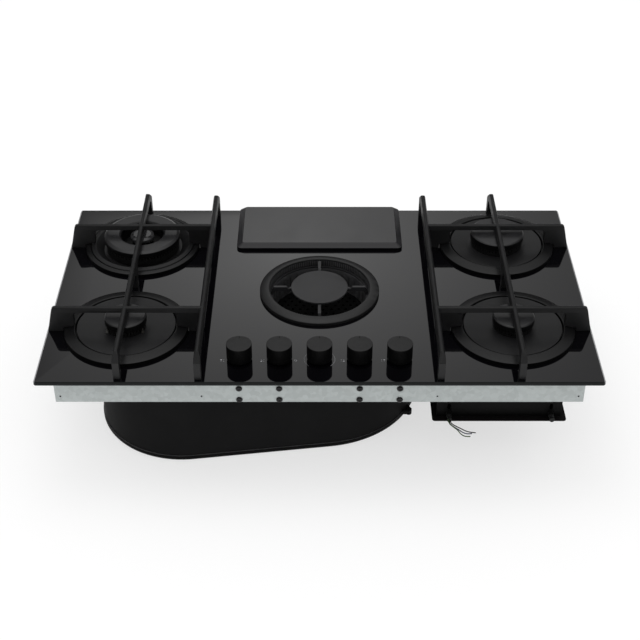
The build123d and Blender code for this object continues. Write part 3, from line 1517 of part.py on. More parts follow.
scroll_top = base_floor + SCROLL_HEIGHT
scroll_half = DUCT_WIDTH / 2 - CASING_WALL - SCROLL_GAP
scroll_end = DUCT_END_Y - CASING_WALL - SCROLL_GAP
scroll_ceiling = casing_ceiling - SCROLL_GAP


def scroll_plan(z, inset, front_y, round_part):
    """Outline of the volute: the wheel chamber and the duct that leaves it."""
    low_y = front_y + inset
    with BuildSketch(Plane.XY.offset(z)) as plan:
        if round_part:
            with Locations((BLOWER_X, BLOWER_Y)):
                Circle(SCROLL_RADIUS - inset)
        with Locations((DUCT_X, (low_y + scroll_end) / 2)):
            Rectangle(2 * (scroll_half - inset), scroll_end - low_y)
    return plan.sketch


with BuildPart() as scroll_housing:
    add(scroll_plan(base_floor, 0, BLOWER_Y, True))
    extrude(amount=scroll_top - base_floor)
    add(scroll_plan(base_floor, 0, SCROLL_DUCT_Y, False))
    extrude(amount=scroll_ceiling - base_floor)
    add(scroll_plan(base_floor, CASING_WALL, BLOWER_Y, True))
    extrude(amount=scroll_top - CASING_WALL - base_floor, mode=Mode.SUBTRACT)
    add(scroll_plan(base_floor, CASING_WALL, SCROLL_DUCT_Y, False))
    extrude(amount=scroll_ceiling - CASING_WALL - base_floor, mode=Mode.SUBTRACT)
    with BuildSketch(Plane.XY.offset(scroll_top)):
        with Locations((BLOWER_X, BLOWER_Y)):
            Circle(EYE_RADIUS)
    extrude(amount=-CASING_WALL, mode=Mode.SUBTRACT)
save(scroll_housing.part, "scroll_housing")

wheel_bottom = base_floor + WHEEL_LIFT
wheel_top = wheel_bottom + WHEEL_HEIGHT
hub_top = wheel_bottom + WHEEL_HUB_HEIGHT
motor_top = base_floor + MOTOR_HEIGHT
with BuildPart() as impeller:
    add(
        turned(
            BLOWER_X,
            BLOWER_Y,
            [
                (0, motor_top - WHEEL_SHAFT_LENGTH),
                (SPINDLE_RADIUS, motor_top - WHEEL_SHAFT_LENGTH),
                (SPINDLE_RADIUS, hub_top - WHEEL_SHEET),
                (WHEEL_HUB - WHEEL_SHEET, hub_top - WHEEL_SHEET),
                (WHEEL_HUB - WHEEL_SHEET, wheel_bottom),
                (WHEEL_RADIUS, wheel_bottom),
                (WHEEL_RADIUS, wheel_bottom + WHEEL_SHEET),
                (WHEEL_HUB, wheel_bottom + WHEEL_SHEET),
                (WHEEL_HUB, hub_top),
                (0, hub_top),
            ],
        )
    )
    with Locations((BLOWER_X, BLOWER_Y, wheel_bottom + WHEEL_HEIGHT / 2)):
        with PolarLocations(WHEEL_RADIUS - WHEEL_BLADE / 2, WHEEL_BLADES):
            Box(WHEEL_BLADE, WHEEL_BLADE_THICKNESS, WHEEL_HEIGHT, rotation=(0, 0, WHEEL_BLADE_TURN))
    with BuildSketch(Plane.XY.offset(wheel_top - WHEEL_SHEET)):
        with Locations((BLOWER_X, BLOWER_Y)):
            Circle(WHEEL_RADIUS)
            Circle(WHEEL_RADIUS - WHEEL_BLADE, mode=Mode.SUBTRACT)
    extrude(amount=WHEEL_SHEET)
save(impeller.part, "impeller")

with BuildPart() as fan_motor:
    add(
        turned(
            BLOWER_X,
            BLOWER_Y,
            [
                (SPINDLE_RADIUS + RUNNING_FIT, base_floor + CASING_WALL),
                (0, base_floor + CASING_WALL),
                (0, base_floor),
                (MOTOR_FLANGE, base_floor),
                (MOTOR_FLANGE, base_floor + MOTOR_FLANGE_HEIGHT),
                (MOTOR_RADIUS, base_floor + MOTOR_FLANGE_HEIGHT),
                (MOTOR_RADIUS, motor_top - MOTOR_EDGE),
                (MOTOR_RADIUS - MOTOR_EDGE, motor_top),
                (SPINDLE_RADIUS + RUNNING_FIT, motor_top),
            ],
        )
    )
save(fan_motor.part, "fan_motor")

# ---------------------------------------------------------------- electrical box

box_mid_x = (BOX_LEFT + BOX_RIGHT) / 2
box_mid_y = (BOX_FRONT_Y + BOX_REAR_Y) / 2
box_width = BOX_RIGHT - BOX_LEFT
box_depth = BOX_REAR_Y - BOX_FRONT_Y
box_height = tray_bottom - BOX_BOTTOM
box_front = Plane(origin=(0, BOX_FRONT_Y, 0), x_dir=(1, 0, 0), z_dir=(0, -1, 0))

with BuildPart() as control_box:
    with BuildSketch(Plane.XY.offset(BOX_BOTTOM)):
        with Locations((box_mid_x, box_mid_y)):
            Rectangle(box_width, box_depth)
    extrude(amount=box_height)
    with BuildSketch(Plane.XY.offset(BOX_BOTTOM)):
        with Locations((box_mid_x, box_mid_y)):
            Rectangle(box_width - 2 * BOX_SHEET, box_depth - 2 * BOX_SHEET)
    extrude(amount=box_height - BOX_SHEET, mode=Mode.SUBTRACT)
    with BuildSketch(Plane.XY.offset(tray_bottom)):
        with Locations(cable_pass):
            Circle(CABLE_PASS_RADIUS)
    extrude(amount=-BOX_SHEET, mode=Mode.SUBTRACT)
    with BuildSketch(box_front):
        with Locations(*[(x, GLAND_Z + BOX_SLOT_RISE) for x in GLAND_X]):
            SlotOverall(*BOX_SLOT, rotation=90)
    extrude(amount=-BOX_SHEET, mode=Mode.SUBTRACT)
save(control_box.part, "control_box")

cover_front_y = BOX_FRONT_Y - BOX_COVER_FRONT
cover_rear_y = BOX_REAR_Y + BOX_COVER_FRONT
with BuildPart() as control_box_cover:
    with BuildSketch(Plane.XY.offset(BOX_BOTTOM)):
        with Locations((box_mid_x, (cover_front_y + cover_rear_y) / 2)):
            RectangleRounded(
                box_width + 2 * BOX_COVER_MARGIN,
                cover_rear_y - cover_front_y,
                BOX_COVER_CORNER,
            )
    extrude(amount=-BOX_COVER)
save(control_box_cover.part, "control_box_cover")

with BuildPart() as cable_glands:
    for x in GLAND_X:
        gland_plane = Plane(origin=(x, BOX_FRONT_Y, GLAND_Z), x_dir=(1, 0, 0), z_dir=(0, -1, 0))
        with BuildSketch(gland_plane):
            RegularPolygon(GLAND_RADIUS, 6)
        extrude(amount=GLAND_HEX_LENGTH)
        with BuildSketch(gland_plane):
            Circle(GLAND_NECK)
        extrude(amount=GLAND_LENGTH)
save(cable_glands.part, "cable_glands")

# ---------------------------------------------------------------- wires


def wire_radii(route):
    """Radius of each corner: a share of the shorter run over the tangent of half the turn."""
    points = [Vector(*p) for p in route]
    radii = []
    for before, here, after in zip(points, points[1:], points[2:]):
        turn = math.radians((here - before).get_angle(after - here))
        shorter = min((here - before).length, (after - here).length)
        radii.append(WIRE_BEND_SHARE * shorter / math.tan(turn / 2))
    return radii


wire_routes = {"live_wire": WIRE_LIVE, "neutral_wire": WIRE_NEUTRAL, "earth_wire": WIRE_EARTH}
for wire_name, route in wire_routes.items():
    radii = wire_radii(route)
    print(wire_name, "corner radii", [round(r, 1) for r in radii])
    with BuildPart() as wire:
        with BuildLine() as wire_line:
            FilletPolyline(*route, radius=radii)
        wire_path = wire_line.wire()
        with BuildSketch(Plane(origin=route[0], z_dir=wire_path % 0)):
            Circle(WIRE_RADIUS)
        sweep(path=wire_path)
    ideal = math.pi * WIRE_RADIUS**2 * wire_path.length
    ratio = wire.part.volume / ideal
    print(wire_name, "length", round(wire_path.length, 1), "volume ratio", round(ratio, 4))
    save(wire.part, wire_name)
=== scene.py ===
"""Looks of a built-in gas cooktop with a centre extractor: glass, castings, knobs, housings."""

import json
import math
from contextlib import contextmanager

import bmesh
import bpy
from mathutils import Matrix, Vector

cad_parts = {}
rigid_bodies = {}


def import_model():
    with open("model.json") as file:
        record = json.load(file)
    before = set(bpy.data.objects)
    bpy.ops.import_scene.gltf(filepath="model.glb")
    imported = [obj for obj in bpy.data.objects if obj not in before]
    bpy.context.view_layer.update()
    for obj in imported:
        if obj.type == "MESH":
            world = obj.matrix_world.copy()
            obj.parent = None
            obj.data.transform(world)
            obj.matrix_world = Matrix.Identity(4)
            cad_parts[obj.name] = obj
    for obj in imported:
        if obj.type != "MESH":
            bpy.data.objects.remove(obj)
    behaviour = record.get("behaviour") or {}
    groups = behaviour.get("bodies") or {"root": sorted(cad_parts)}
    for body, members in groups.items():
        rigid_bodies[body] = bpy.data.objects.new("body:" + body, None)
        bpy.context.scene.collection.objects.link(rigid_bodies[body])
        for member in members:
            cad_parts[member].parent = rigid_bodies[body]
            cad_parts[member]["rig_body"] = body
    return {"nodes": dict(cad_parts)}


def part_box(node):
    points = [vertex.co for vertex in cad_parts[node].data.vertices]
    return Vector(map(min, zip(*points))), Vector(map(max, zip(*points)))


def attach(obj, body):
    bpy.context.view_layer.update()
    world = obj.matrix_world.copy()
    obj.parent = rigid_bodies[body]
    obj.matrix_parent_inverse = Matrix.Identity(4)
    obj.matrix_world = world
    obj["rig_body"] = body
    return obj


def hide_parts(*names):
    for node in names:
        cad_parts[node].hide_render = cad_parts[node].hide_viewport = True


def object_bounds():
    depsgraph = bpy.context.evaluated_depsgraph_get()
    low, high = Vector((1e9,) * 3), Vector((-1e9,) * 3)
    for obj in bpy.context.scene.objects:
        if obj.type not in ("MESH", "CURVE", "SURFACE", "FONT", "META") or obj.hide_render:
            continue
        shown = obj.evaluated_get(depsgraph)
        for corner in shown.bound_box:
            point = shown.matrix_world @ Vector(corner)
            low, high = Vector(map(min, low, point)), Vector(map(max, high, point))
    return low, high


bl_info = {
    "name": "Gas Cooktop With Centre Extractor",
    "version": (1, 0, 0),
    "blender": (4, 5, 0),
    "location": "View3D > Sidebar > Cooktop",
    "description": "Glass top, burners, pan supports, knobs and housings of a gas cooktop",
    "category": "Object",
}

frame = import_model()
cad_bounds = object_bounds()

MM = 0.001
GLASS_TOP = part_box("glass_top")[1].z / MM
FRONT_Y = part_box("base_tray")[0].y / MM
SCREW_RADIUS = 5.2
SCREW_HEAD = 2.8
CLAMP_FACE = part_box("tray_screws")[1].x / MM - SCREW_HEAD


def middle(node):
    """Centre of a node's box seen from above, in millimetres."""
    low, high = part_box(node)
    return (low.x + high.x) / 2 / MM, (low.y + high.y) / 2 / MM


BURNERS = {name: middle(f"{name}_surround_ring") for name in ("front_left", "front_right", "rapid", "wok")}
KNOBS = {"rear_left": -128.4, "front_left": -64.2, "fan": 0.0, "front_right": 64.2, "rear_right": 128.4}
KNOB_Y = -200.0
INTAKE = (0.0, -9.0)
# places of the casing's ears: centre x and y, reach, and angle in degrees
CASING_EARS = (
    (-5.0, INTAKE[1], 186.0, -30.0),
    (-5.0, INTAKE[1], 186.0, 40.0),
    (-5.0, INTAKE[1], 186.0, 100.0),
    (-232.0, -72.0, 155.0, 162.0),
)
FRONT_SCREW_ROWS = (-18.1, -40.5)
CLAMP_SCREW = (140.0, -26.0)

# the glands' axes and how much slimmer than their solids they show, in metres
GLAND_AXES = (0.213, 0.381)
GLAND_HEIGHT = -0.0978
GLAND_SHARE = 0.8

# caps: from top to seat, depth of the skirt below the seat, the wok ring's bore, and the skirts' outer radii
CAP_DEPTH = 12.0
WOK_CENTRE_DEPTH = 8.0
SKIRT = 4.0
SKIRT_WALL = 2.0
WOK_BORE = 37.5
WOK_RIM, WOK_CENTRE_RIM = 58.4, 14.9
CAP_RIMS = {"front_left": 25.9, "front_right": 25.9, "rapid": 38.9}

# surround rings: inner radius, height at the outer edge, width of the foot, and slope from there to the crest
RING_INNER = {"wok": 92.8}
RING_INNER_SMALL = 83.3
RING_HEIGHT = 6.0
RING_FOOT = 5.2
RING_SLOPE = 4.1 / 18.5

# walls of the intake's throat that carry ribs: the collar's radius and top, and the filter's radius
COLLAR_WALL, COLLAR_TOP = 85.3, 16.5
FILTER_WALL = 80.1

# printed marks: where each knob's burner sign and the fan's sign stand, and the fan's scale
BURNER_MARKS = {"rear_left": -155.6, "front_left": -91.2, "front_right": 36.9, "rear_right": 101.8}
FAN_MARK = -38.1
MARK_Y = KNOB_Y - 3.4
MARK_LOW, MARK_HIGH = GLASS_TOP + 0.02, GLASS_TOP + 0.05

# camera: the photograph's frame and focal length in pixels, the sensor's width, the place, and degrees looked down
FRAME_PIXELS = 640.0
FOCAL_PIXELS = 1306.0
SENSOR = 36.0
CAMERA_PLACE = (0.0, -1.85607, 1.2955)
CAMERA_DOWN = 36.1

# the wires' routes, from the gland to the bare end, in metres
WIRE_ROUTES = {
    "live_wire": (
        (0.2137, -0.2240, -0.0970),
        (0.2137, -0.2292, -0.0970),
        (0.2169, -0.2332, -0.0986),
        (0.2232, -0.2350, -0.1016),
        (0.2310, -0.2350, -0.1062),
        (0.2390, -0.2340, -0.1124),
        (0.2476, -0.2326, -0.1166),
        (0.2566, -0.2316, -0.1184),
    ),
    "neutral_wire": (
        (0.2123, -0.2240, -0.0988),
        (0.2123, -0.2290, -0.0988),
        (0.2154, -0.2328, -0.1009),
        (0.2212, -0.2342, -0.1046),
        (0.2284, -0.2344, -0.1098),
        (0.2360, -0.2340, -0.1164),
        (0.2438, -0.2328, -0.1204),
        (0.2506, -0.2318, -0.1198),
    ),
    "earth_wire": (
        (0.2110, -0.2240, -0.0969),
        (0.2110, -0.2296, -0.0969),
        (0.2134, -0.2346, -0.0982),
        (0.2192, -0.2376, -0.1014),
        (0.2258, -0.2382, -0.1068),
        (0.2312, -0.2378, -0.1158),
        (0.2392, -0.2366, -0.1228),
        (0.2478, -0.2348, -0.1236),
    ),
}
WIRE_DIAMETER = 0.0018


# ---------------------------------------------------------------- sizes a user may change


def length(name, description, millimetres, low=0.0, high=1000.0):
    return bpy.props.FloatProperty(
        name=name,
        description=description,
        default=millimetres * MM,
        min=low * MM,
        max=high * MM,
        unit="LENGTH",
        precision=4,
    )


def tint(name, description, value):
    return bpy.props.FloatVectorProperty(
        name=name, description=description, subtype="COLOR", default=value, min=0.0, max=1.0
    )


class CooktopGlass(bpy.types.PropertyGroup):
    edge_round: length("Edge Rounding", "Radius of the glass's polished edge", 0.5, 0.1, 2.0)
    bevel_width: length("Bevel Width", "Width of the ground bevel along the sides and the back", 2.4, 0.5, 5.0)
    bevel_depth: length("Bevel Depth", "Drop of the ground bevel at the glass's edge", 0.6, 0.1, 2.0)
    colour: tint("Glass Colour", "Colour of the printed underside seen through the glass", (0.0013, 0.0012, 0.0017))
    mark_colour: tint("Mark Colour", "Colour of the printed marks", (0.3, 0.3, 0.32))


class CooktopCastings(bpy.types.PropertyGroup):
    support_round: length("Support Rounding", "Radius along the pan supports' edges", 0.7, 0.1, 2.0)
    top_round: length("Top Rounding", "Radius along the top of the pan supports' bars", 2.4, 0.2, 3.0)
    cap_round: length("Cap Rounding", "Radius round the burner caps' edges", 1.2, 0.1, 3.0)
    iron: tint("Cast Iron", "Colour of the enamelled cast iron", (0.0065, 0.0065, 0.0069))
    enamel: tint("Enamel", "Colour of caps, dishes and rings", (0.0062, 0.0062, 0.0066))


class CooktopScrews(bpy.types.PropertyGroup):
    head_radius: length("Head Radius", "Radius of a pan-head screw", SCREW_RADIUS, 2.0, 8.0)
    colour: tint("Screw Colour", "Colour of the black-plated screws", (0.009, 0.009, 0.0095))


class CooktopRibs(bpy.types.PropertyGroup):
    count: bpy.props.IntProperty(
        name="Ribs", description="Upright ribs round the intake's throat", default=132, min=12, max=360
    )
    width: length("Rib Width", "Width of a rib in the intake's throat", 1.5, 0.2, 4.0)
    depth: length("Rib Depth", "How far a rib stands out of the wall", 0.7, 0.1, 3.0)


class CooktopKnobs(bpy.types.PropertyGroup):
    flutes: bpy.props.IntProperty(
        name="Flutes", description="Fine grooves round a knob's side", default=90, min=12, max=240
    )
    flute_depth: length("Flute Depth", "Depth of the grooves", 0.12, 0.0, 1.0)
    colour: tint("Knob Colour", "Colour of the knobs", (0.0014, 0.0014, 0.0015))


class CooktopHousing(bpy.types.PropertyGroup):
    edge_round: length("Edge Rounding", "Radius along the housings' edges", 0.5, 0.1, 2.0)
    plastic: tint("Casing Colour", "Colour of the moulded casing", (0.008, 0.008, 0.0082))
    zinc: tint("Zinc Colour", "Colour of the galvanised tray", (0.45, 0.484, 0.479))


def section(kind, name, description):
    return bpy.props.PointerProperty(type=kind, name=name, description=description)


class CooktopSettings(bpy.types.PropertyGroup):
    glass: section(CooktopGlass, "Glass", "Glass top")
    castings: section(CooktopCastings, "Castings", "Burners and pan supports")
    knobs: section(CooktopKnobs, "Knobs", "Control knobs")
    housing: section(CooktopHousing, "Housing", "Tray and housings")
    screws: section(CooktopScrews, "Screws", "Screws of tray and casing")
    ribs: section(CooktopRibs, "Ribs", "Ribs in the intake's throat")


# ---------------------------------------------------------------- shader building


class Tree:
    """Builds a node tree: makes nodes, sets their values and links their sockets."""

    def __init__(self, tree):
        self.tree = tree

    def node(self, kind, **settings):
        node = self.tree.nodes.new(kind)
        inputs = settings.pop("inputs", {})
        for key, value in settings.items():
            setattr(node, key, value)
        for key, value in inputs.items():
            self.feed(node.inputs[key], value)
        return node

    def feed(self, socket, value):
        if isinstance(value, bpy.types.NodeSocket):
            self.tree.links.new(value, socket)
        else:
            socket.default_value = value

    def math(self, operation, a, b):
        return self.node("ShaderNodeMath", operation=operation, inputs={0: a, 1: b}).outputs[0]

    def spread(self, value, low, high, from_low=0.0, from_high=1.0):
        node = self.node("ShaderNodeMapRange", clamp=True)
        self.feed(node.inputs["Value"], value)
        for key, number in (("From Min", from_low), ("From Max", from_high), ("To Min", low), ("To Max", high)):
            self.feed(node.inputs[key], number)
        return node.outputs["Result"]

    def noise(self, vector, scale, detail, roughness=0.55):
        inputs = {"Vector": vector, "Scale": scale, "Detail": detail, "Roughness": roughness}
        return self.node("ShaderNodeTexNoise", inputs=inputs).outputs["Fac"]

    def mix(self, factor, a, b):
        node = self.node("ShaderNodeMix", data_type="RGBA")
        self.feed(node.inputs["Factor"], factor)
        self.feed(node.inputs["A"], a)
        self.feed(node.inputs["B"], b)
        return node.outputs["Result"]


def shader_group(name, inputs, outputs):
    """Empty shader node group that reads a vector and named numbers; returns its tree, input and output node."""
    group = bpy.data.node_groups.new(name, "ShaderNodeTree")
    group.interface.new_socket("Vector", in_out="INPUT", socket_type="NodeSocketVector")
    for key, value in inputs.items():
        group.interface.new_socket(key, in_out="INPUT", socket_type="NodeSocketFloat").default_value = value
    for key in outputs:
        group.interface.new_socket(key, in_out="OUTPUT", socket_type="NodeSocketFloat")
    tree = Tree(group)
    return tree, tree.node("NodeGroupInput"), tree.node("NodeGroupOutput")


def make_grain_group():
    """Moulded or cast grain: fine bumps over slow patches."""
    inputs = {"Grain Size": 0.6, "Patch Size": 30.0, "Smooth": 0.4, "Rough": 0.6}
    tree, given, result = shader_group("Surface Grain", inputs, ("Height", "Roughness", "Patches"))
    fine = tree.noise(given.outputs["Vector"], tree.math("DIVIDE", 1000.0, given.outputs["Grain Size"]), 4.0)
    slow = tree.noise(given.outputs["Vector"], tree.math("DIVIDE", 1000.0, given.outputs["Patch Size"]), 2.0)
    blend = tree.math("ADD", tree.math("MULTIPLY", fine, 0.5), tree.math("MULTIPLY", slow, 0.5))
    tree.feed(result.inputs["Height"], fine)
    tree.feed(result.inputs["Patches"], tree.spread(slow, 0.0, 1.0, 0.35, 0.65))
    rough = tree.spread(blend, given.outputs["Smooth"], given.outputs["Rough"], 0.35, 0.65)
    tree.feed(result.inputs["Roughness"], rough)
    return tree.tree


def make_edge_highlight_group():
    """Painted highlight on convex edges, broken up by noise."""
    inputs = {"Start": 0.52, "End": 0.6, "Breakup": 0.4}
    tree, given, result = shader_group("Edge Wear", inputs, ("Edge",))
    point = tree.node("ShaderNodeNewGeometry").outputs["Pointiness"]
    edge = tree.spread(point, 0.0, 1.0, given.outputs["Start"], given.outputs["End"])
    breakup_noise = tree.spread(tree.noise(given.outputs["Vector"], 420.0, 3.0), 0.0, 1.0, 0.35, 0.65)
    kept = tree.math("SUBTRACT", 1.0, tree.math("MULTIPLY", breakup_noise, given.outputs["Breakup"]))
    tree.feed(result.inputs["Edge"], tree.math("MULTIPLY", edge, kept))
    return tree.tree


def make_ring_group():
    """Fine uneven rings round a vertical axis through the origin of the vector."""
    tree, given, result = shader_group("Turned Rings", {"Pitch": 0.8}, ("Height",))
    parts = tree.node("ShaderNodeSeparateXYZ", inputs={0: given.outputs["Vector"]})
    flat = tree.node("ShaderNodeCombineXYZ", inputs={0: parts.outputs[0], 1: parts.outputs[1]})
    radius = tree.node("ShaderNodeVectorMath", operation="LENGTH", inputs={0: flat.outputs[0]}).outputs["Value"]
    line = tree.node("ShaderNodeCombineXYZ", inputs={0: radius})
    rings = tree.noise(line.outputs[0], tree.math("DIVIDE", 1000.0, given.outputs["Pitch"]), 2.0, 0.6)
    tree.feed(result.inputs["Height"], rings)
    return tree.tree


def make_sheet_group():
    """Galvanised sheet: crystal patches under faint rolling lines."""
    tree, given, result = shader_group("Zinc Spangle", {"Crystal Size": 9.0}, ("Crystals", "Lines"))
    wobble = tree.node(
        "ShaderNodeTexNoise", inputs={"Vector": given.outputs["Vector"], "Scale": 160.0, "Detail": 2.0}
    ).outputs["Color"]
    shift = tree.node("ShaderNodeVectorMath", operation="SCALE", inputs={0: wobble, "Scale": 0.004}).outputs[0]
    place = tree.node("ShaderNodeVectorMath", operation="ADD", inputs={0: given.outputs["Vector"], 1: shift})
    cells = tree.node(
        "ShaderNodeTexVoronoi",
        inputs={"Vector": place.outputs[0], "Scale": tree.math("DIVIDE", 1000.0, given.outputs["Crystal Size"])},
    )
    value = tree.node("ShaderNodeSeparateColor", inputs={0: cells.outputs["Color"]}).outputs[0]
    squeeze = tree.node("ShaderNodeMapping", inputs={"Vector": given.outputs["Vector"], "Scale": (8.0, 900.0, 900.0)})
    tree.feed(result.inputs["Crystals"], value)
    tree.feed(result.inputs["Lines"], tree.noise(squeeze.outputs[0], 1.0, 3.0, 0.6))
    return tree.tree


GROUPS = {}
MATERIALS = {}
SPECULAR, METAL = "Specular IOR Level", "Metallic"


class Finish:
    """A material whose Principled shader takes plain values and pattern sockets."""

    def __init__(self, name, colour, roughness, **other):
        self.material = bpy.data.materials.new(name)
        self.material.use_nodes = True
        self.tree = Tree(self.material.node_tree)
        self.shader = self.material.node_tree.nodes["Principled BSDF"]
        self.colour = (*colour, 1.0)
        plain = {"Base Color": self.colour, "Roughness": roughness, **other}
        for key, value in plain.items():
            self.shader.inputs[key].default_value = value
        self.place = self.tree.node("ShaderNodeTexCoord").outputs["Object"]
        self.normal = None

    def group(self, name, **inputs):
        node = self.tree.node("ShaderNodeGroup", node_tree=GROUPS[name])
        self.tree.feed(node.inputs["Vector"], inputs.pop("vector", self.place))
        for key, value in inputs.items():
            self.tree.feed(node.inputs[key.replace("_", " ")], value)
        return node

    def bump(self, height, millimetres):
        node = self.tree.node("ShaderNodeBump", inputs={"Height": height, "Distance": millimetres * MM})
        if self.normal is not None:
            self.tree.feed(node.inputs["Normal"], self.normal)
        self.normal = node.outputs["Normal"]
        self.tree.feed(self.shader.inputs["Normal"], self.normal)

    def base(self, factor, other, amount=1.0):
        """Mixes the base colour towards another by a pattern."""
        share = self.tree.math("MULTIPLY", factor, amount)
        self.tree.feed(self.shader.inputs["Base Color"], self.tree.mix(share, self.colour, (*other, 1.0)))

    def rough(self, socket):
        self.tree.feed(self.shader.inputs["Roughness"], socket)

    def centred(self, x, y):
        """Object coordinates with their origin at a place given in millimetres."""
        inputs = {"Vector": self.place, "Location": (-x * MM, -y * MM, 0)}
        return self.tree.node("ShaderNodeMapping", inputs=inputs).outputs[0]


def shade(value, colour):
    return tuple(value * channel for channel in colour)


def grained(name, colour, smooth, rough, grain, depth, patch=30.0, fade=1.35, other=None):
    """Painted, moulded or cast surface: grain bumps, patchy roughness and slightly uneven colour."""
    finish = Finish(name, colour, rough, **(other or {}))
    MATERIALS[name] = finish.material
    grains = finish.group("Surface Grain", Grain_Size=grain, Patch_Size=patch, Smooth=smooth, Rough=rough)
    finish.rough(grains.outputs["Roughness"])
    finish.bump(grains.outputs["Height"], depth)
    finish.base(grains.outputs["Patches"], shade(fade, colour))
    return finish


def ringed(place, pitch, depth, *look):
    """Grained surface with fine turned rings round an upright axis."""
    finish = grained(*look)
    rings = finish.group("Turned Rings", vector=finish.centred(*place), Pitch=pitch)
    finish.bump(rings.outputs["Height"], depth)


# colour, least and most roughness, grain size and depth, patch size, fade of the patches, other shader values
PLAIN_LOOKS = {
    # painted highlight: light grey for the glass's ground bevel along the sides and back
    "glass_edge": ((0.24, 0.24, 0.25), 0.3, 0.45, 0.5, 0.01, 20.0, 0.85),
    "glass_front_edge": ((0.006, 0.007, 0.007), 0.25, 0.4, 0.5, 0.01, 20.0, 1.3, {SPECULAR: 0.15}),
    "seal_foam": ((0.02, 0.02, 0.02), 0.8, 0.95, 0.7, 0.15, 8.0),
    "cap_gloss": ((0.02, 0.02, 0.021), 0.12, 0.22, 1.0, 0.004, 15.0),
    "burner_alloy_dark": ((0.003, 0.003, 0.003), 0.4, 0.55, 0.6, 0.03, 12.0, 1.4, {SPECULAR: 0.3}),
    "burner_alloy": ((0.5, 0.51, 0.52), 0.35, 0.5, 0.8, 0.03, 20.0, 0.85, {METAL: 1.0}),
    "bright_steel": ((0.5, 0.5, 0.5), 0.25, 0.4, 0.6, 0.01, 20.0, 0.85, {METAL: 1.0}),
    "brass": ((0.65, 0.46, 0.2), 0.22, 0.36, 0.6, 0.01, 12.0, 0.8, {METAL: 1.0}),
    "ceramic": ((0.5, 0.49, 0.46), 0.12, 0.24, 0.5, 0.004, 4.0, 0.9),
    # ceramic for the spark electrodes away from the wok burner, darker than the wok's
    "smoked_ceramic": ((0.02, 0.0195, 0.018), 0.2, 0.34, 0.5, 0.004, 4.0, 1.6),
    "probe_steel": ((0.03, 0.028, 0.026), 0.35, 0.5, 0.6, 0.01, 5.0, 1.6, {METAL: 0.6}),
    "intake_plastic": ((0.006, 0.006, 0.0062), 0.38, 0.5, 0.4, 0.012, 40.0, 1.2),
    "disc_plastic": ((0.012, 0.012, 0.0128), 0.34, 0.45, 0.4, 0.012, 40.0, 1.2),
    "throat_plastic": ((0.05, 0.05, 0.052), 0.45, 0.6, 0.5, 0.01, 20.0, 1.3),
    "filter_mesh": ((0.045, 0.045, 0.0465), 0.45, 0.6, 0.8, 0.03, 10.0, 1.4, {SPECULAR: 0.2}),
    # painted shade: near black for the floor of the filter, deep under the cover disc
    "filter_floor": ((0.0012, 0.0012, 0.0012), 0.5, 0.65, 0.8, 0.02, 10.0, 1.4, {SPECULAR: 0.08}),
    # painted highlight: a lighter tone for the rear cover's bevel faces
    "cover_edge": ((0.012, 0.0115, 0.013), 0.28, 0.4, 0.5, 0.004, 60.0, 1.2),
    "cover_gloss": ((0.0013, 0.0012, 0.0017), 0.05, 0.12, 60.0, 0.0, 120.0, 1.3, {SPECULAR: 0.4}),
    "inner_plastic": ((0.05, 0.05, 0.052), 0.4, 0.55, 0.6, 0.02, 40.0),
    "box_paint": ((0.0016, 0.0016, 0.0016), 0.45, 0.6, 0.5, 0.02, 30.0, 1.4, {SPECULAR: 0.1}),
    "box_gloss": ((0.006, 0.0054, 0.0056), 0.3, 0.42, 2.0, 0.004, 50.0, 1.2, {SPECULAR: 0.06}),
    "gland_plastic": ((0.006, 0.006, 0.006), 0.4, 0.52, 0.5, 0.02, 6.0, 1.4, {SPECULAR: 0.2}),
    "live_sleeve": ((0.015, 0.012, 0.012), 0.35, 0.5, 0.4, 0.01, 6.0),
    "neutral_sleeve": ((0.015, 0.022, 0.06), 0.35, 0.5, 0.4, 0.01, 6.0),
    "earth_sleeve": ((0.03, 0.06, 0.015), 0.35, 0.5, 0.4, 0.01, 6.0),
}


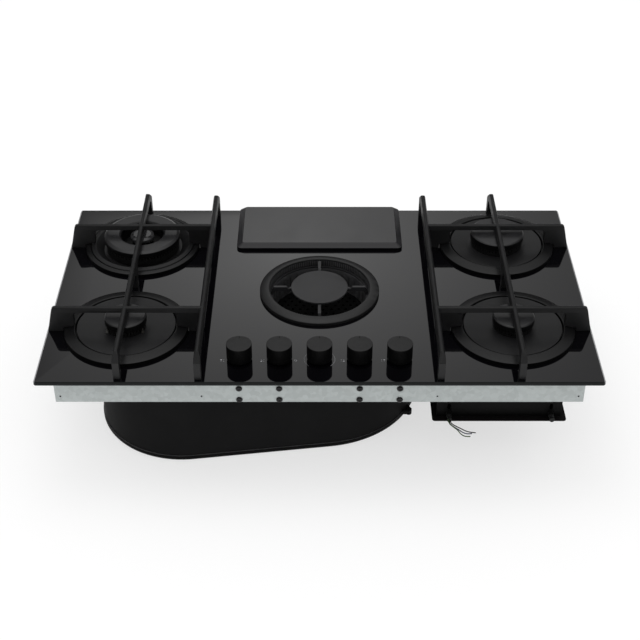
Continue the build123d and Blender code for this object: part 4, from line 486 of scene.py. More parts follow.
def make_materials(settings):
    glass, castings, knobs, housing = settings.glass, settings.castings, settings.knobs, settings.housing
    for group in (make_grain_group(), make_edge_highlight_group(), make_ring_group(), make_sheet_group()):
        GROUPS[group.name] = group
    for name, look in PLAIN_LOOKS.items():
        grained(name, *look)

    # colour that a user may change and the share of it that is taken, then as above
    tinted = {
        "black_glass": (glass.colour, 1.0, 0.03, 0.07, 90.0, 0.0, 140.0, 1.3, {"IOR": 1.5}),
        "print_mark": (glass.mark_colour, 1.0, 0.3, 0.45, 0.5, 0.0),
        "print_scale": (glass.mark_colour, 0.45, 0.3, 0.45, 0.5, 0.0),
        "dish_enamel": (castings.enamel, 1.0, 0.38, 0.5, 0.5, 0.012, 50.0, 1.25, {SPECULAR: 0.34}),
        # painted shade: a darker copy of the enamel for the upright faces of rings and caps
        "side_enamel": (castings.enamel, 0.25, 0.3, 0.42, 0.5, 0.01, 30.0, 1.3, {SPECULAR: 0.14}),
        "screw_black": (settings.screws.colour, 1.0, 0.25, 0.4, 0.5, 0.01, 4.0, 1.6, {METAL: 0.4}),
        "knob_plastic": (knobs.colour, 1.0, 0.3, 0.42, 0.35, 0.01, 12.0, 1.25, {SPECULAR: 0.16}),
        "casing_plastic": (housing.plastic, 1.0, 0.5, 0.65, 0.5, 0.012, 60.0, 1.2, {SPECULAR: 0.03}),
        # painted shade: the casing's base shell takes a darker copy of the casing colour
        "casing_base_plastic": (housing.plastic, 0.35, 0.5, 0.65, 0.5, 0.012, 60.0, 1.2, {SPECULAR: 0.05}),
        # painted highlight: a much lighter copy of the casing colour for the ledge on top of the base shell
        "casing_rim": (housing.plastic, 9.0, 0.4, 0.5, 0.5, 0.01, 60.0, 0.8),
    }
    for name, (colour, share, *look) in tinted.items():
        grained(name, shade(share, colour), *look)

    iron = tuple(castings.iron)
    finish = grained("cast_iron", iron, 0.4, 0.58, 0.9, 0.05, 25.0, 1.5, {SPECULAR: 0.32})
    # the supports' convex edges take a lighter copy of the iron: a painted highlight
    edge = finish.group("Edge Wear", Start=0.53, End=0.62, Breakup=0.3)
    finish.base(edge.outputs["Edge"], shade(2.6, iron), 0.8)

    ring, cap, knob = shade(0.6, castings.enamel), shade(1.6, castings.enamel), shade(1.6, knobs.colour)
    for name, place in BURNERS.items():
        look = (0.27, 0.36, 0.5, 0.01, 40.0, 1.2, {SPECULAR: 0.35})
        ringed(place, 1.1, 0.05, f"{name}_ring_enamel", ring, *look)
        ringed(place, 1.4, 0.02, f"{name}_cap_enamel", cap, 0.3, 0.4, 0.4, 0.012, 20.0, 1.3)
    # knob tops take a lighter copy of the knob colour, a painted highlight, over turned rings
    for name, x in KNOBS.items():
        ringed((x, KNOB_Y), 0.5, 0.012, f"{name}_knob_top", knob, 0.4, 0.5, 0.3, 0.01, 8.0, 1.15)

    finish = Finish("zinc_sheet", tuple(housing.zinc), 0.42, **{METAL: 0.35})
    MATERIALS["zinc_sheet"] = finish.material
    sheet = finish.group("Zinc Spangle", Crystal_Size=7.0)
    finish.base(sheet.outputs["Crystals"], shade(0.86, tuple(housing.zinc)))
    finish.rough(finish.tree.spread(sheet.outputs["Lines"], 0.36, 0.55, 0.3, 0.7))
    finish.bump(sheet.outputs["Lines"], 0.006)


# ---------------------------------------------------------------- mesh building


def linked(name, data):
    item = bpy.data.objects.new(name, data)
    bpy.context.scene.collection.objects.link(item)
    return item


def new_piece(name, mesh, material):
    piece = linked(name, mesh)
    mesh.materials.clear()
    mesh.materials.append(MATERIALS[material])
    return piece


def paint_faces(piece, material, chosen):
    """Gives the faces that a test picks a material of their own."""
    piece.data.materials.append(MATERIALS[material])
    index = len(piece.data.materials) - 1
    for face in piece.data.polygons:
        if chosen(face):
            face.material_index = index
    return piece


def shaded_sides(piece):
    """Paints shade on the upright faces of an enamelled ring or cap: they take a darker copy of the enamel."""
    return paint_faces(piece, "side_enamel", lambda face: face.normal.z < 0.6)


def ride_with(piece, node):
    """The piece rides with the body of a node."""
    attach(piece, frame["nodes"][node]["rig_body"])


def stand_for(piece, node):
    """The piece rides with the body of a node and is shown in its place."""
    ride_with(piece, node)
    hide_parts(node)


def smooth_mesh(mesh, angle=32.0):
    mesh.polygons.foreach_set("use_smooth", [True] * len(mesh.polygons))
    mesh.set_sharp_from_angle(angle=math.radians(angle))


def baked(piece, name):
    """Plain mesh of a piece as its modifiers show it."""
    graph = bpy.context.evaluated_depsgraph_get()
    mesh = bpy.data.meshes.new_from_object(piece.evaluated_get(graph))
    mesh.name = name
    return mesh


@contextmanager
def editing(mesh):
    """Opens a mesh as a bmesh and writes it back."""
    work = bmesh.new()
    work.from_mesh(mesh)
    yield work
    work.to_mesh(mesh)
    work.free()


MERGE_REACH = 2e-6
FLAT_ANGLE = math.radians(0.6)


def merged_copy(node):
    """Copy of a CAD node's mesh with its doubles merged and its flat faces made whole."""
    mesh = bpy.data.meshes.new(node)
    with editing(mesh) as work:
        work.from_mesh(frame["nodes"][node].data)
        bmesh.ops.remove_doubles(work, verts=work.verts, dist=MERGE_REACH)
        bmesh.ops.dissolve_limit(
            work, angle_limit=FLAT_ANGLE, verts=work.verts, edges=work.edges, delimit={"NORMAL"}
        )
    return mesh


def softened(node, radius, material, angle=35.0, steps=2, mesh=None):
    """Piece in place of a CAD node, with its corners rounded and its flat faces kept flat."""
    mesh = mesh or merged_copy(node)
    smooth_mesh(mesh, angle)
    piece = new_piece(f"{node}_piece", mesh, material)
    bevel = piece.modifiers.new("Rounding", "BEVEL")
    bevel.width = radius
    bevel.segments = steps
    bevel.limit_method = "ANGLE"
    bevel.angle_limit = math.radians(angle)
    bevel.harden_normals = True
    mesh = baked(piece, f"{node}_piece")
    piece.modifiers.clear()
    piece.data = mesh
    stand_for(piece, node)
    return piece


def carved(piece, *cutters):
    """Takes closed cutter meshes out of a piece and removes them."""
    for cutter in cutters:
        tool = linked("cutter", cutter)
        cut = piece.modifiers.new("Cut", "BOOLEAN")
        cut.operation = "DIFFERENCE"
        cut.solver = "EXACT"
        cut.object = tool
        mesh = baked(piece, piece.name)
        piece.modifiers.clear()
        piece.data = mesh
        bpy.data.objects.remove(tool)


def block_mesh(low, high):
    """Closed box between two corners given in millimetres."""
    mesh = bpy.data.meshes.new("block")
    with editing(mesh) as work:
        bmesh.ops.create_cube(work, size=1.0)
        for vert in work.verts:
            vert.co = [(a + (b - a) * (c + 0.5)) * MM for a, b, c in zip(low, high, vert.co)]
    return mesh


def round_outline(points, radius, steps=3):
    """Closed outline with each corner rounded; a point's third value sets its own radius."""
    result = []
    count = len(points)
    for index, point in enumerate(points):
        here = Vector(point[:2])
        reach = point[2] if len(point) > 2 else radius
        before = Vector(points[index - 1][:2]) - here
        after = Vector(points[(index + 1) % count][:2]) - here
        sharp = abs(here.x) < 1e-9 or reach <= 0 or min(before.length, after.length) < 1e-9
        if sharp or before.angle(after) > math.radians(172.0):
            result.append((here.x, here.y))
            continue
        half = before.angle(after) / 2
        back = min(reach / math.tan(half), 0.45 * before.length, 0.45 * after.length)
        start = here + before.normalized() * back
        end = here + after.normalized() * back
        for step in range(steps + 1):
            t = step / steps
            spot = start * (1 - t) ** 2 + here * 2 * t * (1 - t) + end * t**2
            result.append((spot.x, spot.y))
    return result


def turned_mesh(name, x, y, outline, steps=144):
    """Mesh turned from a closed (radius, height) outline in millimetres about a vertical axis."""
    mesh = bpy.data.meshes.new(name)
    with editing(mesh) as work:
        rings = []
        for radius, height in outline:
            ring = []
            for step in range(steps if radius > 1e-6 else 1):
                angle = 2 * math.pi * step / steps
                spot = (x + radius * math.cos(angle), y + radius * math.sin(angle), height)
                ring.append(work.verts.new([value * MM for value in spot]))
            rings.append(ring)
        for low, high in zip(rings, rings[1:] + rings[:1]):
            for step in range(steps):
                corners = ((low, step), (low, step + 1), (high, step + 1), (high, step))
                verts = list(dict.fromkeys(ring[index % len(ring)] for ring, index in corners))
                if len(verts) > 2:
                    work.faces.new(verts)
        bmesh.ops.remove_doubles(work, verts=work.verts, dist=1e-7)
        bmesh.ops.recalc_face_normals(work, faces=work.faces)
    smooth_mesh(mesh)
    return mesh


def turned_piece(node, place, outline, radius, corner_steps, steps, material):
    """Turned piece for a CAD node, its outline's corners rounded by a radius in millimetres."""
    mesh = turned_mesh(f"{node}_piece", *place, round_outline(outline, radius, corner_steps), steps)
    return new_piece(mesh.name, mesh, material)


def round_size(node):
    """Top and radius of a round node, in millimetres."""
    low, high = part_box(node)
    return high.z / MM, (high.x - low.x) / 2 / MM


def flute(mesh, x, y, low, high, radius, count, depth):
    """Presses fine upright grooves into the side of a turned mesh, between two heights."""
    for vert in mesh.vertices:
        dx, dy = vert.co.x - x * MM, vert.co.y - y * MM
        reach = math.hypot(dx, dy)
        if low * MM < vert.co.z < high * MM and reach > (radius - 0.2) * MM:
            share = (reach - depth * (0.5 - 0.5 * math.cos(count * math.atan2(dy, dx)))) / reach
            vert.co.x, vert.co.y = x * MM + dx * share, y * MM + dy * share


def join_meshes(name, meshes):
    joined = bpy.data.meshes.new(name)
    with editing(joined) as work:
        for mesh in meshes:
            work.from_mesh(mesh)
    smooth_mesh(joined)
    return joined


def geometry_group(name, inputs):
    """Empty geometry node group with named inputs; returns its tree, input node and output node."""
    group = bpy.data.node_groups.new(name, "GeometryNodeTree")
    for key, kind in inputs.items():
        group.interface.new_socket(key, in_out="INPUT", socket_type=f"NodeSocket{kind}")
    group.interface.new_socket("Geometry", in_out="OUTPUT", socket_type="NodeSocketGeometry")
    tree = Tree(group)
    return tree, tree.node("NodeGroupInput"), tree.node("NodeGroupOutput")


def coat(tree, given, result, geometry):
    """Ends a geometry node group with its material."""
    inputs = {"Geometry": geometry, "Material": given.outputs["Material"]}
    tree.feed(result.inputs[0], tree.node("GeometryNodeSetMaterial", inputs=inputs).outputs[0])


def grown(name, mesh, group, material, values):
    """Piece that a geometry node group grows on a mesh of a few points."""
    holder = linked(name, mesh)
    nodes = holder.modifiers.new("Grow", "NODES")
    nodes.node_group = group
    values = {**values, "Material": MATERIALS[material]}
    for item in group.interface.items_tree:
        if item.in_out == "INPUT" and item.name in values:
            nodes[item.identifier] = values[item.name]
    mesh = baked(holder, f"{name}_piece")
    bpy.data.objects.remove(holder)
    return new_piece(f"{name}_piece", mesh, material)


def point_mesh(name, places):
    mesh = bpy.data.meshes.new(name)
    mesh.from_pydata([[value * MM for value in place] for place in places], [], [])
    return mesh


def screw_model():
    """Pan-head screw with a cross recess, its head's underside at z = 0."""
    outline = [
        (0, -8.0),
        (1.4, -8.0, 0.4),
        (2.0, -7.0, 0.4),
        (2.0, 0),
        (SCREW_RADIUS, 0, 0.3),
        (SCREW_RADIUS, 1.3, 0.5),
        (3.7, SCREW_HEAD, 1.8),
        (0, SCREW_HEAD),
    ]
    piece = linked("screw", turned_mesh("screw", 0, 0, round_outline(outline, 0.3, 4), 48))
    carved(piece, block_mesh((-2.5, -0.55, 1.4), (2.5, 0.55, 4.0)), block_mesh((-0.55, -2.5, 1.4), (0.55, 2.5, 4.0)))
    smooth_mesh(piece.data, 35.0)
    return piece


def screw_group():
    """Geometry nodes that set a screw on each vertex, turned to face its own way."""
    inputs = {"Geometry": "Geometry", "Screw": "Object", "Head Radius": "Float", "Material": "Material"}
    tree, given, result = geometry_group("Screw Row", inputs)
    facing = tree.node("GeometryNodeInputNamedAttribute", data_type="FLOAT_VECTOR", inputs={"Name": "facing"})
    turn = tree.node("FunctionNodeAlignRotationToVector", axis="Z", inputs={"Vector": facing.outputs[0]})
    screw = tree.node("GeometryNodeObjectInfo", inputs={"Object": given.outputs["Screw"]})
    inputs = {
        "Points": given.outputs["Geometry"],
        "Instance": screw.outputs["Geometry"],
        "Rotation": turn.outputs[0],
        "Scale": tree.math("DIVIDE", given.outputs["Head Radius"], SCREW_RADIUS * MM),
    }
    placed = tree.node("GeometryNodeInstanceOnPoints", inputs=inputs)
    whole = tree.node("GeometryNodeRealizeInstances", inputs={0: placed.outputs[0]})
    coat(tree, given, result, whole.outputs[0])
    return tree.tree


def screw_row(node, places, head_radius):
    """Screws at (place, facing) pairs in millimetres, in place of a CAD node of screws."""
    mesh = point_mesh(f"{node}_places", [place for place, facing in places])
    mesh.attributes.new("facing", "FLOAT_VECTOR", "POINT")
    mesh.attributes["facing"].data.foreach_set("vector", [value for place, facing in places for value in facing])
    screw = screw_model()
    values = {"Screw": screw, "Head Radius": head_radius}
    piece = grown(node, mesh, screw_group(), "screw_black", values)
    bpy.data.objects.remove(screw)
    stand_for(piece, node)


def rib_group():
    """Geometry nodes that stand fine upright ribs round a circle."""
    inputs = {
        "Geometry": "Geometry",
        "Count": "Int",
        "Radius": "Float",
        "Size": "Vector",
        "Centre": "Vector",
        "Material": "Material",
    }
    tree, given, result = geometry_group("Rib Ring", inputs)
    inputs = {"Vertices": given.outputs["Count"], "Radius": given.outputs["Radius"]}
    circle = tree.node("GeometryNodeMeshCircle", inputs=inputs)
    rib = tree.node("GeometryNodeMeshCube", inputs={"Size": given.outputs["Size"]})
    outward = tree.node("GeometryNodeInputPosition")
    turn = tree.node("FunctionNodeAlignRotationToVector", axis="X", inputs={"Vector": outward.outputs[0]})
    inputs = {"Points": circle.outputs["Mesh"], "Instance": rib.outputs["Mesh"], "Rotation": turn.outputs[0]}
    placed = tree.node("GeometryNodeInstanceOnPoints", inputs=inputs)
    whole = tree.node("GeometryNodeRealizeInstances", inputs={0: placed.outputs[0]})
    inputs = {"Geometry": whole.outputs[0], "Translation": given.outputs["Centre"]}
    coat(tree, given, result, tree.node("GeometryNodeTransform", inputs=inputs).outputs[0])
    return tree.tree


def rib_ring(name, node, group, ribs, radius, low, high, material):
    """Ring of ribs on an inner wall of the intake, between two heights in millimetres."""
    values = {
        "Count": ribs.count,
        "Radius": radius * MM,
        "Size": (ribs.depth, ribs.width, (high - low) * MM),
        "Centre": (INTAKE[0] * MM, INTAKE[1] * MM, (low + high) / 2 * MM),
    }
    piece = grown(name, point_mesh(name, [(0.0, 0.0, 0.0)]), group, material, values)
    ride_with(piece, node)


def dress(material, *nodes):
    """Gives CAD nodes that keep their own shape a better material."""
    for node in nodes:
        mesh = frame["nodes"][node].data
        mesh.materials.clear()
        mesh.materials.append(MATERIALS[material])


def seen_rays(tree):
    """One for rays that show the backdrop itself: to the camera, mirrored, or through glass."""
    path = tree.node("ShaderNodeLightPath")
    glossy = tree.math("MAXIMUM", path.outputs["Is Glossy Ray"], path.outputs["Is Transmission Ray"])
    return tree.math("MAXIMUM", path.outputs["Is Camera Ray"], glossy)


# ---------------------------------------------------------------- operators


class COOKTOP_OT_stage(bpy.types.Operator):
    """Floor, backdrop light and camera"""

    bl_idname = "cooktop.stage"
    bl_label = "Stage"

    def execute(self, context):
        self.add_floor()
        self.add_world(context.scene)
        light = bpy.data.lights.new("top_light", "AREA")
        light.size = 1.6
        light.energy = 14.0
        lamp = linked("top_light", light)
        lamp.location = (-0.4, 0.5, 2.4)
        lamp.rotation_euler = (-lamp.location).to_track_quat("-Z", "Y").to_euler()
        lamp.visible_glossy = False

        camera = linked("camera", bpy.data.cameras.new("camera"))
        camera.data.sensor_width = SENSOR
        camera.data.lens = FOCAL_PIXELS * SENSOR / FRAME_PIXELS
        camera.data.shift_x = 0.5 / FRAME_PIXELS
        camera.location = CAMERA_PLACE
        camera.rotation_euler = (math.radians(90.0 - CAMERA_DOWN), 0.0, 0.0)
        context.scene.camera = camera
        context.scene.view_settings.view_transform = "Standard"
        return {"FINISHED"}

    def add_floor(self):
        """Pale floor just under the object, white where it is seen itself but for its shadow."""
        floor_z = cad_bounds[0][2] - 0.0005
        size = 12.0
        corners = ((-size, -size), (size, -size), (size, size), (-size, size))
        mesh = bpy.data.meshes.new("floor")
        mesh.from_pydata([(*corner, floor_z) for corner in corners], [], [(0, 1, 2, 3)])
        linked("floor", mesh)
        whiteness = 0.6
        finish = Finish("pale_floor", (0.95, 0.95, 0.95), 0.9)
        tree = finish.tree
        white = tree.node("ShaderNodeEmission", inputs={"Color": (1, 1, 1, 1), "Strength": 1.0})
        mix = tree.node("ShaderNodeMixShader", inputs={1: finish.shader.outputs[0], 2: white.outputs[0]})
        tree.feed(mix.inputs[0], tree.math("MULTIPLY", seen_rays(tree), whiteness))
        tree.feed(tree.tree.nodes["Material Output"].inputs["Surface"], mix.outputs[0])
        mesh.materials.append(finish.material)

    def add_world(self, scene):
        """Even white light; mirrored surfaces see a soft panel behind and above, and dim walls beside it."""
        scene.world = bpy.data.worlds.new("studio")
        scene.world.use_nodes = True
        tree = Tree(scene.world.node_tree)
        back = tree.tree.nodes["Background"]
        back.inputs["Color"].default_value = (1.0, 1.0, 1.0, 1.0)
        panel = tree.node("ShaderNodeTexGradient", gradient_type="SPHERICAL")
        light, falloff, sky_falloff, wall_light = 1.4, 2.8, 4.0, 0.04
        reach = (0.6, 0.6, 0.32)
        azimuth, height = math.radians(-1.4), math.radians(33.0)
        centre = (math.sin(azimuth) * math.cos(height), math.cos(azimuth) * math.cos(height), math.sin(height))
        panel.texture_mapping.translation = [-place / size for place, size in zip(centre, reach)]
        panel.texture_mapping.scale = [1 / size for size in reach]
        over = tree.node("ShaderNodeTexGradient", gradient_type="LINEAR")
        over.texture_mapping.rotation = (0.0, math.radians(90.0), 0.0)
        glow = tree.math("MULTIPLY", tree.math("POWER", panel.outputs["Fac"], falloff), light)
        sky = tree.math("MULTIPLY", tree.math("POWER", over.outputs["Fac"], sky_falloff), light)
        path = tree.node("ShaderNodeLightPath")
        strength = tree.node("ShaderNodeMix", data_type="FLOAT")
        strength.inputs["A"].default_value = 1.0
        tree.feed(strength.inputs["B"], tree.math("ADD", glow, tree.math("ADD", sky, wall_light)))
        tree.feed(strength.inputs["Factor"], path.outputs["Is Glossy Ray"])
        tree.feed(back.inputs["Strength"], strength.outputs["Result"])


class COOKTOP_OT_wires(bpy.types.Operator):
    """Three bare-ended wires that hang out of the left gland"""

    bl_idname = "cooktop.wires"
    bl_label = "Wires"

    def execute(self, context):
        for name, route in WIRE_ROUTES.items():
            curve = bpy.data.curves.new(f"{name}_piece", "CURVE")
            curve.dimensions = "3D"
            curve.bevel_depth = WIRE_DIAMETER / 2
            curve.bevel_resolution = 6
            curve.resolution_u = 12
            curve.use_fill_caps = True
            spline = curve.splines.new("NURBS")
            spline.points.add(len(route) - 1)
            for point, place in zip(spline.points, route):
                point.co = (*place, 1.0)
            spline.order_u = 3
            spline.use_endpoint_u = True
            curve.materials.append(MATERIALS[name.replace("wire", "sleeve")])
            piece = linked(f"{name}_piece", curve)
            stand_for(piece, name)
        return {"FINISHED"}


class COOKTOP_OT_glass(bpy.types.Operator):
    """Glass top with its polished edge, and the seal under it"""

    bl_idname = "cooktop.glass"
    bl_label = "Glass Top"

    def execute(self, context):
        glass = context.scene.cooktop.glass
        low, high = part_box("glass_top")
        side, back = high.x - glass.bevel_width, high.y - glass.bevel_width
        near = 0.0001
        mesh = merged_copy("glass_top")
        with editing(mesh) as work:
            for place, normal in (((side, 0, 0), (1, 0, 0)), ((-side, 0, 0), (1, 0, 0)), ((0, back, 0), (0, 1, 0))):
                parts = work.verts[:] + work.edges[:] + work.faces[:]
                bmesh.ops.bisect_plane(work, geom=parts, dist=1e-6, plane_co=place, plane_no=normal)
            for vert in work.verts:
                outer = abs(vert.co.x) > side + near or vert.co.y > back + near
                if outer and vert.co.z > high.z - near:
                    vert.co.z -= glass.bevel_depth
        piece = softened("glass_top", glass.edge_round, "black_glass", 30.0, 3, mesh)
        front = low.y + 0.002
        paint_faces(piece, "glass_front_edge", lambda face: face.center.y < front and face.normal.y < -0.3)

        def on_bevel(face):
            return (abs(face.center.x) > side or face.center.y > back) and face.normal.z > 0.1

        # the bevel faces take the light grey: a painted highlight
        paint_faces(piece, "glass_edge", on_bevel)
        dress("seal_foam", "worktop_seal")
        return {"FINISHED"}


class COOKTOP_OT_marks(bpy.types.Operator):
    """Printed burner marks beside the knobs, and the scale round the fan knob"""

    bl_idname = "cooktop.marks"
    bl_label = "Printed Marks"

    def execute(self, context):
        dots = []
        for name, x in BURNER_MARKS.items():
            for row, y in (("rear", MARK_Y + 1.8), ("front", MARK_Y - 1.8)):
                for side, shift in (("left", -2.0), ("right", 2.0)):
                    radius = 1.3 if name == f"{row}_{side}" else 0.55
                    dots.append(self.dot(x + shift, y, radius, 20))
        for part in range(6):
            angle = math.radians(60.0 * part)
            dots.append(self.dot(FAN_MARK + 1.9 * math.cos(angle), MARK_Y + 1.9 * math.sin(angle), 0.6, 16))
        ride_with(new_piece("printed_marks", join_meshes("printed_marks", dots), "print_mark"), "glass_top")
        ride_with(new_piece("printed_scale", self.scale_arc(), "print_scale"), "glass_top")
        return {"FINISHED"}

    def dot(self, x, y, radius, steps):
        outline = [(0, MARK_LOW), (radius, MARK_LOW), (radius, MARK_HIGH), (0, MARK_HIGH)]
        return turned_mesh("dot", x, y, outline, steps)

    def scale_arc(self):
        """Arc round the fan knob that widens to the right, open towards the front."""
        mesh = bpy.data.meshes.new("scale_arc")
        steps = 72
        with editing(mesh) as work:
            rings = []
            for step in range(steps + 1):
                share = step / steps
                angle = math.radians(225.0 - 270.0 * share)
                inner, outer = 24.4, 24.7 + 0.7 * share
                ring = []
                corners = ((inner, MARK_LOW), (outer, MARK_LOW), (outer, MARK_HIGH), (inner, MARK_HIGH))
                for radius, height in corners:
                    spot = (radius * math.cos(angle), KNOB_Y + radius * math.sin(angle), height)
                    ring.append(work.verts.new([value * MM for value in spot]))
                rings.append(ring)
            for before, after in zip(rings, rings[1:]):
                for index in range(4):
                    following = (index + 1) % 4
                    work.faces.new((before[index], before[following], after[following], after[index]))
            work.faces.new(rings[0])
            work.faces.new(list(reversed(rings[-1])))
            bmesh.ops.recalc_face_normals(work, faces=work.faces)
        return mesh


class COOKTOP_OT_rings(bpy.types.Operator):
    """Raised rings and pressed dishes round the burners"""

    bl_idname = "cooktop.rings"
    bl_label = "Rings And Dishes"

    def execute(self, context):
        for name, (x, y) in BURNERS.items():
            node = f"{name}_surround_ring"
            outer = round_size(node)[1]
            inner = RING_INNER.get(name, RING_INNER_SMALL)
            crest = GLASS_TOP + RING_HEIGHT + (outer - inner) * RING_SLOPE
            foot = outer - RING_FOOT
            outline = [
                (inner, GLASS_TOP + 1.2, 0.1),
                (foot, GLASS_TOP + 1.2, 0.1),
                (foot, GLASS_TOP, 0.1),
                (outer, GLASS_TOP, 0.1),
                (outer, GLASS_TOP + RING_HEIGHT, 1.2),
                (inner + 1.2, crest - 1.2 * RING_SLOPE, 1.6),
                (inner, crest - 1.4, 1.0),
            ]
            stand_for(shaded_sides(turned_piece(node, (x, y), outline, 0.5, 4, 180, f"{name}_ring_enamel")), node)
        dress("dish_enamel", "burner_dishes")
        return {"FINISHED"}


class COOKTOP_OT_burners(bpy.types.Operator):
    """Flame spreaders, caps, cups, injectors, sparks and flame probes"""

    bl_idname = "cooktop.burners"
    bl_label = "Burners"

    def execute(self, context):
        cap_round = context.scene.cooktop.castings.cap_round / MM
        dress("burner_alloy_dark", *(f"{name}_crown" for name in BURNERS))
        for name, rim in CAP_RIMS.items():
            node = f"{name}_cap"
            top, radius = round_size(node)
            seat = top - CAP_DEPTH
            outline = [
                (0, seat + 3.0),
                (rim - SKIRT_WALL, seat + 3.0, 0.4),
                (rim - SKIRT_WALL, seat - SKIRT, 0.3),
                (rim, seat - SKIRT, 0.3),
                (rim, seat, 0.2),
                (radius, seat, 0.7),
                (radius, top - 2.2, cap_round * 1.6),
                (radius - 2.6, top, cap_round * 1.2),
                (0, top),
            ]
            stand_for(shaded_sides(turned_piece(node, BURNERS[name], outline, 0.4, 5, 144, f"{name}_cap_enamel")), node)
        top, radius = round_size("wok_outer_cap")
        seat = top - CAP_DEPTH
        outline = [
            (WOK_BORE, seat, 0.4),
            (WOK_RIM - SKIRT_WALL, seat, 0.3),
            (WOK_RIM - SKIRT_WALL, seat - SKIRT, 0.3),
            (WOK_RIM, seat - SKIRT, 0.3),
            (WOK_RIM, seat, 0.2),
            (radius, seat, 0.7),
            (radius, top - 3.4, 2.2),
            (radius - 5.5, top - 0.2, 5.0),
            (WOK_BORE + 3.6, top - 0.4, 3.4),
            (WOK_BORE + 0.5, top - 3.6, 1.4),
            (WOK_BORE, top - 6.0, 0.8),
        ]
        piece = turned_piece("wok_outer_cap", BURNERS["wok"], outline, 0.4, 5, 180, "wok_cap_enamel")
        stand_for(shaded_sides(piece), "wok_outer_cap")
        top, radius = round_size("wok_inner_cap")
        seat = top - WOK_CENTRE_DEPTH
        outline = [
            (0, seat - SKIRT),
            (WOK_CENTRE_RIM, seat - SKIRT, 0.4),
            (WOK_CENTRE_RIM, seat, 0.2),
            (radius, seat, 0.6),
            (radius, top - 2.8, 2.4),
            (radius - 6.0, top - 0.1, 5.0),
            (0, top),
        ]
        piece = turned_piece("wok_inner_cap", BURNERS["wok"], outline, 0.4, 5, 128, "cap_gloss")
        stand_for(piece, "wok_inner_cap")
        dress("burner_alloy", "burner_cups")
        dress("brass", "injectors")
        wok = Vector(BURNERS["wok"]) * MM
        piece = new_piece("spark_electrodes_piece", merged_copy("spark_electrodes"), "smoked_ceramic")
        # electrodes near the wok burner take the pale ceramic; the others keep the darker one
        paint_faces(piece, "ceramic", lambda face: (face.center.xy - wok).length < 0.09)
        smooth_mesh(piece.data, 35.0)
        stand_for(piece, "spark_electrodes")
        dress("probe_steel", "thermocouples")
        return {"FINISHED"}


class COOKTOP_OT_supports(bpy.types.Operator):
    """Cast-iron pan supports with rounded edges"""

    bl_idname = "cooktop.supports"
    bl_label = "Pan Supports"

    def execute(self, context):
        castings = context.scene.cooktop.castings
        for side in ("left", "right"):
            node = f"{side}_pan_support"
            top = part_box(node)[1].z - 0.0002
            mesh = merged_copy(node)
            with editing(mesh) as work:
                rims = []
                for edge in work.edges:
                    level = all(vert.co.z > top for vert in edge.verts) and len(edge.link_faces) == 2
                    if level and edge.calc_face_angle() > math.radians(50.0):
                        rims.append(edge)
                bmesh.ops.bevel(
                    work,
                    geom=rims,
                    offset=castings.top_round,
                    segments=5,
                    profile=0.5,
                    affect="EDGES",
                    clamp_overlap=True,
                )
            softened(node, castings.support_round, "cast_iron", 30.0, 2, mesh)
        return {"FINISHED"}


class COOKTOP_OT_intake(bpy.types.Operator):
    """Intake ring, its cover, the grease filter and the rear cover"""

    bl_idname = "cooktop.intake"
    bl_label = "Intake And Rear Cover"

    def execute(self, context):
        softened("intake_ring", 0.0006, "intake_plastic", 30.0, 2)
        softened("intake_cover", 0.0004, "disc_plastic", 30.0, 2)
        low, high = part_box("grease_filter")
        piece = new_piece("grease_filter_piece", merged_copy("grease_filter"), "filter_mesh")
        # the filter's floor takes near black: painted shade
        paint_faces(piece, "filter_floor", lambda face: face.center.z < low.z + 0.0015)
        smooth_mesh(piece.data, 35.0)
        stand_for(piece, "grease_filter")
        ribs, group = context.scene.cooktop.ribs, rib_group()
        floor, ledge = low.z / MM, high.z / MM
        rib_ring("collar_ribs", "intake_ring", group, ribs, COLLAR_WALL, ledge + 4.0, COLLAR_TOP, "throat_plastic")
        rib_ring("filter_ribs", "grease_filter", group, ribs, FILTER_WALL, floor + 2.0, ledge - 1.0, "filter_mesh")
        piece = softened("rear_cover", 0.0012, "cover_gloss", 20.0, 3)
        # the tilted bevel faces take the lighter tone: a painted highlight
        paint_faces(piece, "cover_edge", lambda face: 0.25 < face.normal.z < 0.985)
        return {"FINISHED"}


class COOKTOP_OT_knobs(bpy.types.Operator):
    """Control knobs with fluted sides"""

    bl_idname = "cooktop.knobs"
    bl_label = "Knobs"

    def execute(self, context):
        knobs = context.scene.cooktop.knobs
        for name, x in KNOBS.items():
            node = f"{name}_knob"
            top, radius = round_size(node)
            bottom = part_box(node)[0].z / MM
            stem = 3.0 if name == "fan" else 4.0
            outline = [
                (stem, bottom + 3.0, 0.3),
                (7.0, bottom + 3.0, 0.5),
                (7.0, top - 4.0, 0.5),
                (radius - 2.5, top - 4.0, 1.0),
                (radius - 2.5, bottom, 0.3),
                (radius, bottom, 0.5),
                (radius, bottom + 1.0, 0.1),
                (radius, bottom + 1.4, 0.1),
                (radius, top - 1.8, 0.1),
                (radius, top - 1.4, 0.1),
                (radius, top, 0.9),
                (0, top),
                (0, top - 6.0),
                (stem, top - 6.0, 0.2),
            ]
            piece = turned_piece(node, (x, KNOB_Y), outline, 0.3, 4, 4 * knobs.flutes, "knob_plastic")
            flute(piece.data, x, KNOB_Y, bottom + 1.1, top - 1.5, radius, knobs.flutes, knobs.flute_depth)
            rear = KNOB_Y + radius
            carved(piece, block_mesh((x - 0.8, rear - 6.0, top - 0.6), (x + 0.8, rear + 1.0, top + 1.0)))
            # the top faces take the lighter copy of the knob colour: a painted highlight
            level = (top - 0.1) * MM
            paint_faces(piece, f"{name}_knob_top", lambda face: face.normal.z > 0.9 and face.center.z > level)
            smooth_mesh(piece.data, 28.0)
            stand_for(piece, node)
            dress("bright_steel", f"{name}_spindle")
            if name != "fan":
                dress("brass", f"{name}_push_pin")
        return {"FINISHED"}


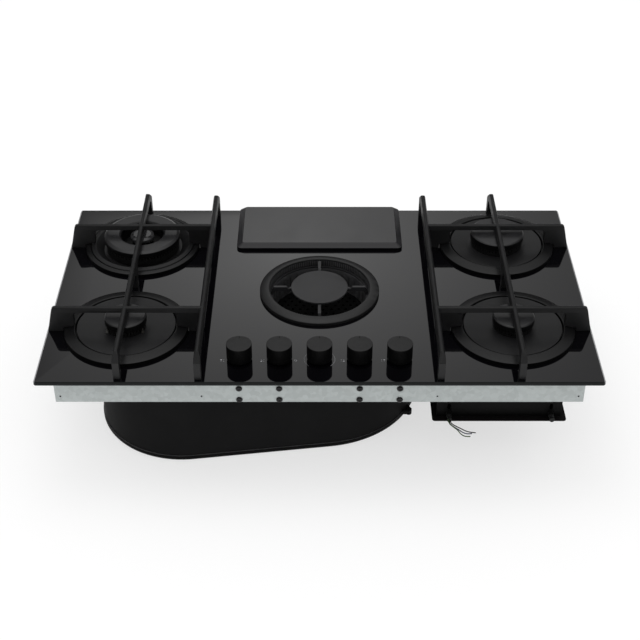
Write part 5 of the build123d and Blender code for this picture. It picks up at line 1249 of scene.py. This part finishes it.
class COOKTOP_OT_tray(bpy.types.Operator):
    """Galvanised tray with its screws and clamps"""

    bl_idname = "cooktop.tray"
    bl_label = "Tray"

    def execute(self, context):
        dress("zinc_sheet", "base_tray")
        dress("bright_steel", "worktop_clamps")
        gas_knobs = [x for name, x in KNOBS.items() if name != "fan"]
        places = [((x, FRONT_Y, z), (0, -1, 0)) for x in gas_knobs for z in FRONT_SCREW_ROWS]
        reach, height = CLAMP_SCREW
        for side in (-1, 1):
            for y in (-reach, reach):
                places.append(((side * CLAMP_FACE, y, height), (side, 0, 0)))
        screw_row("tray_screws", places, context.scene.cooktop.screws.head_radius)
        return {"FINISHED"}


class COOKTOP_OT_gas(bpy.types.Operator):
    """Valves, manifold, pipes, fan switch and spark generator inside the tray"""

    bl_idname = "cooktop.gas"
    bl_label = "Gas And Controls"

    def execute(self, context):
        dress("brass", "gas_valves")
        dress("bright_steel", "gas_manifold")
        dress("burner_alloy", "burner_pipes")
        dress("inner_plastic", "ignition_generator", "fan_switch")
        return {"FINISHED"}


class COOKTOP_OT_casing(bpy.types.Operator):
    """Blower casing, scroll, wheel and motor"""

    bl_idname = "cooktop.casing"
    bl_label = "Blower Casing"

    def execute(self, context):
        radius = context.scene.cooktop.housing.edge_round
        softened("casing_upper", radius, "casing_plastic", 40.0, 2)
        # the base shell takes the darker copy of the casing colour: painted shade
        piece = softened("casing_lower", radius, "casing_base_plastic", 40.0, 2)
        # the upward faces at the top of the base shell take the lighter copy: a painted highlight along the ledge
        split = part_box("casing_lower")[1].z - 2 * radius
        paint_faces(piece, "casing_rim", lambda face: face.center.z > split and face.normal.z > 0.3)
        places = []
        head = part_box("casing_screws")[0].z / MM + SCREW_HEAD
        for x, y, reach, turn in CASING_EARS:
            angle = math.radians(turn)
            places.append(((x + reach * math.cos(angle), y + reach * math.sin(angle), head), (0, 0, -1)))
        screw_row("casing_screws", places, context.scene.cooktop.screws.head_radius)
        dress("inner_plastic", "scroll_housing", "impeller")
        dress("bright_steel", "fan_motor")
        return {"FINISHED"}


class COOKTOP_OT_box(bpy.types.Operator):
    """Electrical box, its cover and the cable glands"""

    bl_idname = "cooktop.box"
    bl_label = "Electrical Box"

    def execute(self, context):
        radius = context.scene.cooktop.housing.edge_round
        softened("control_box", radius, "box_paint", 40.0, 2)
        softened("control_box_cover", radius, "box_gloss", 40.0, 2)
        mesh = merged_copy("cable_glands")
        for vert in mesh.vertices:
            axis = min(GLAND_AXES, key=lambda x: abs(x - vert.co.x))
            vert.co.x = axis + GLAND_SHARE * (vert.co.x - axis)
            vert.co.z = GLAND_HEIGHT + GLAND_SHARE * (vert.co.z - GLAND_HEIGHT)
        smooth_mesh(mesh, 30.0)
        stand_for(new_piece("cable_glands_piece", mesh, "gland_plastic"), "cable_glands")
        return {"FINISHED"}


class COOKTOP_PT_sidebar(bpy.types.Panel):
    """Lists the cooktop's operators and settings"""

    bl_idname = "COOKTOP_PT_sidebar"
    bl_label = "Gas Cooktop"
    bl_space_type = "VIEW_3D"
    bl_region_type = "UI"
    bl_category = "Cooktop"

    def draw(self, context):
        settings = context.scene.cooktop
        for name in settings.__annotations__:
            part = getattr(settings, name)
            box = self.layout.box()
            for key in part.__annotations__:
                box.prop(part, key)
        for operator in OPERATORS:
            self.layout.operator(operator.bl_idname)


OPERATORS = (
    COOKTOP_OT_stage,
    COOKTOP_OT_wires,
    COOKTOP_OT_glass,
    COOKTOP_OT_marks,
    COOKTOP_OT_rings,
    COOKTOP_OT_burners,
    COOKTOP_OT_supports,
    COOKTOP_OT_intake,
    COOKTOP_OT_knobs,
    COOKTOP_OT_tray,
    COOKTOP_OT_gas,
    COOKTOP_OT_casing,
    COOKTOP_OT_box,
)
CLASSES = (
    CooktopGlass,
    CooktopCastings,
    CooktopKnobs,
    CooktopHousing,
    CooktopScrews,
    CooktopRibs,
    CooktopSettings,
    *OPERATORS,
    COOKTOP_PT_sidebar,
)


def register():
    for cls in CLASSES:
        bpy.utils.register_class(cls)
    bpy.types.Scene.cooktop = bpy.props.PointerProperty(type=CooktopSettings)


def unregister():
    del bpy.types.Scene.cooktop
    for cls in reversed(CLASSES):
        bpy.utils.unregister_class(cls)


def main():
    register()
    make_materials(bpy.context.scene.cooktop)
    for operator in OPERATORS:
        category, name = operator.bl_idname.split(".")
        getattr(getattr(bpy.ops, category), name)()


if __name__ == "__main__":
    main()
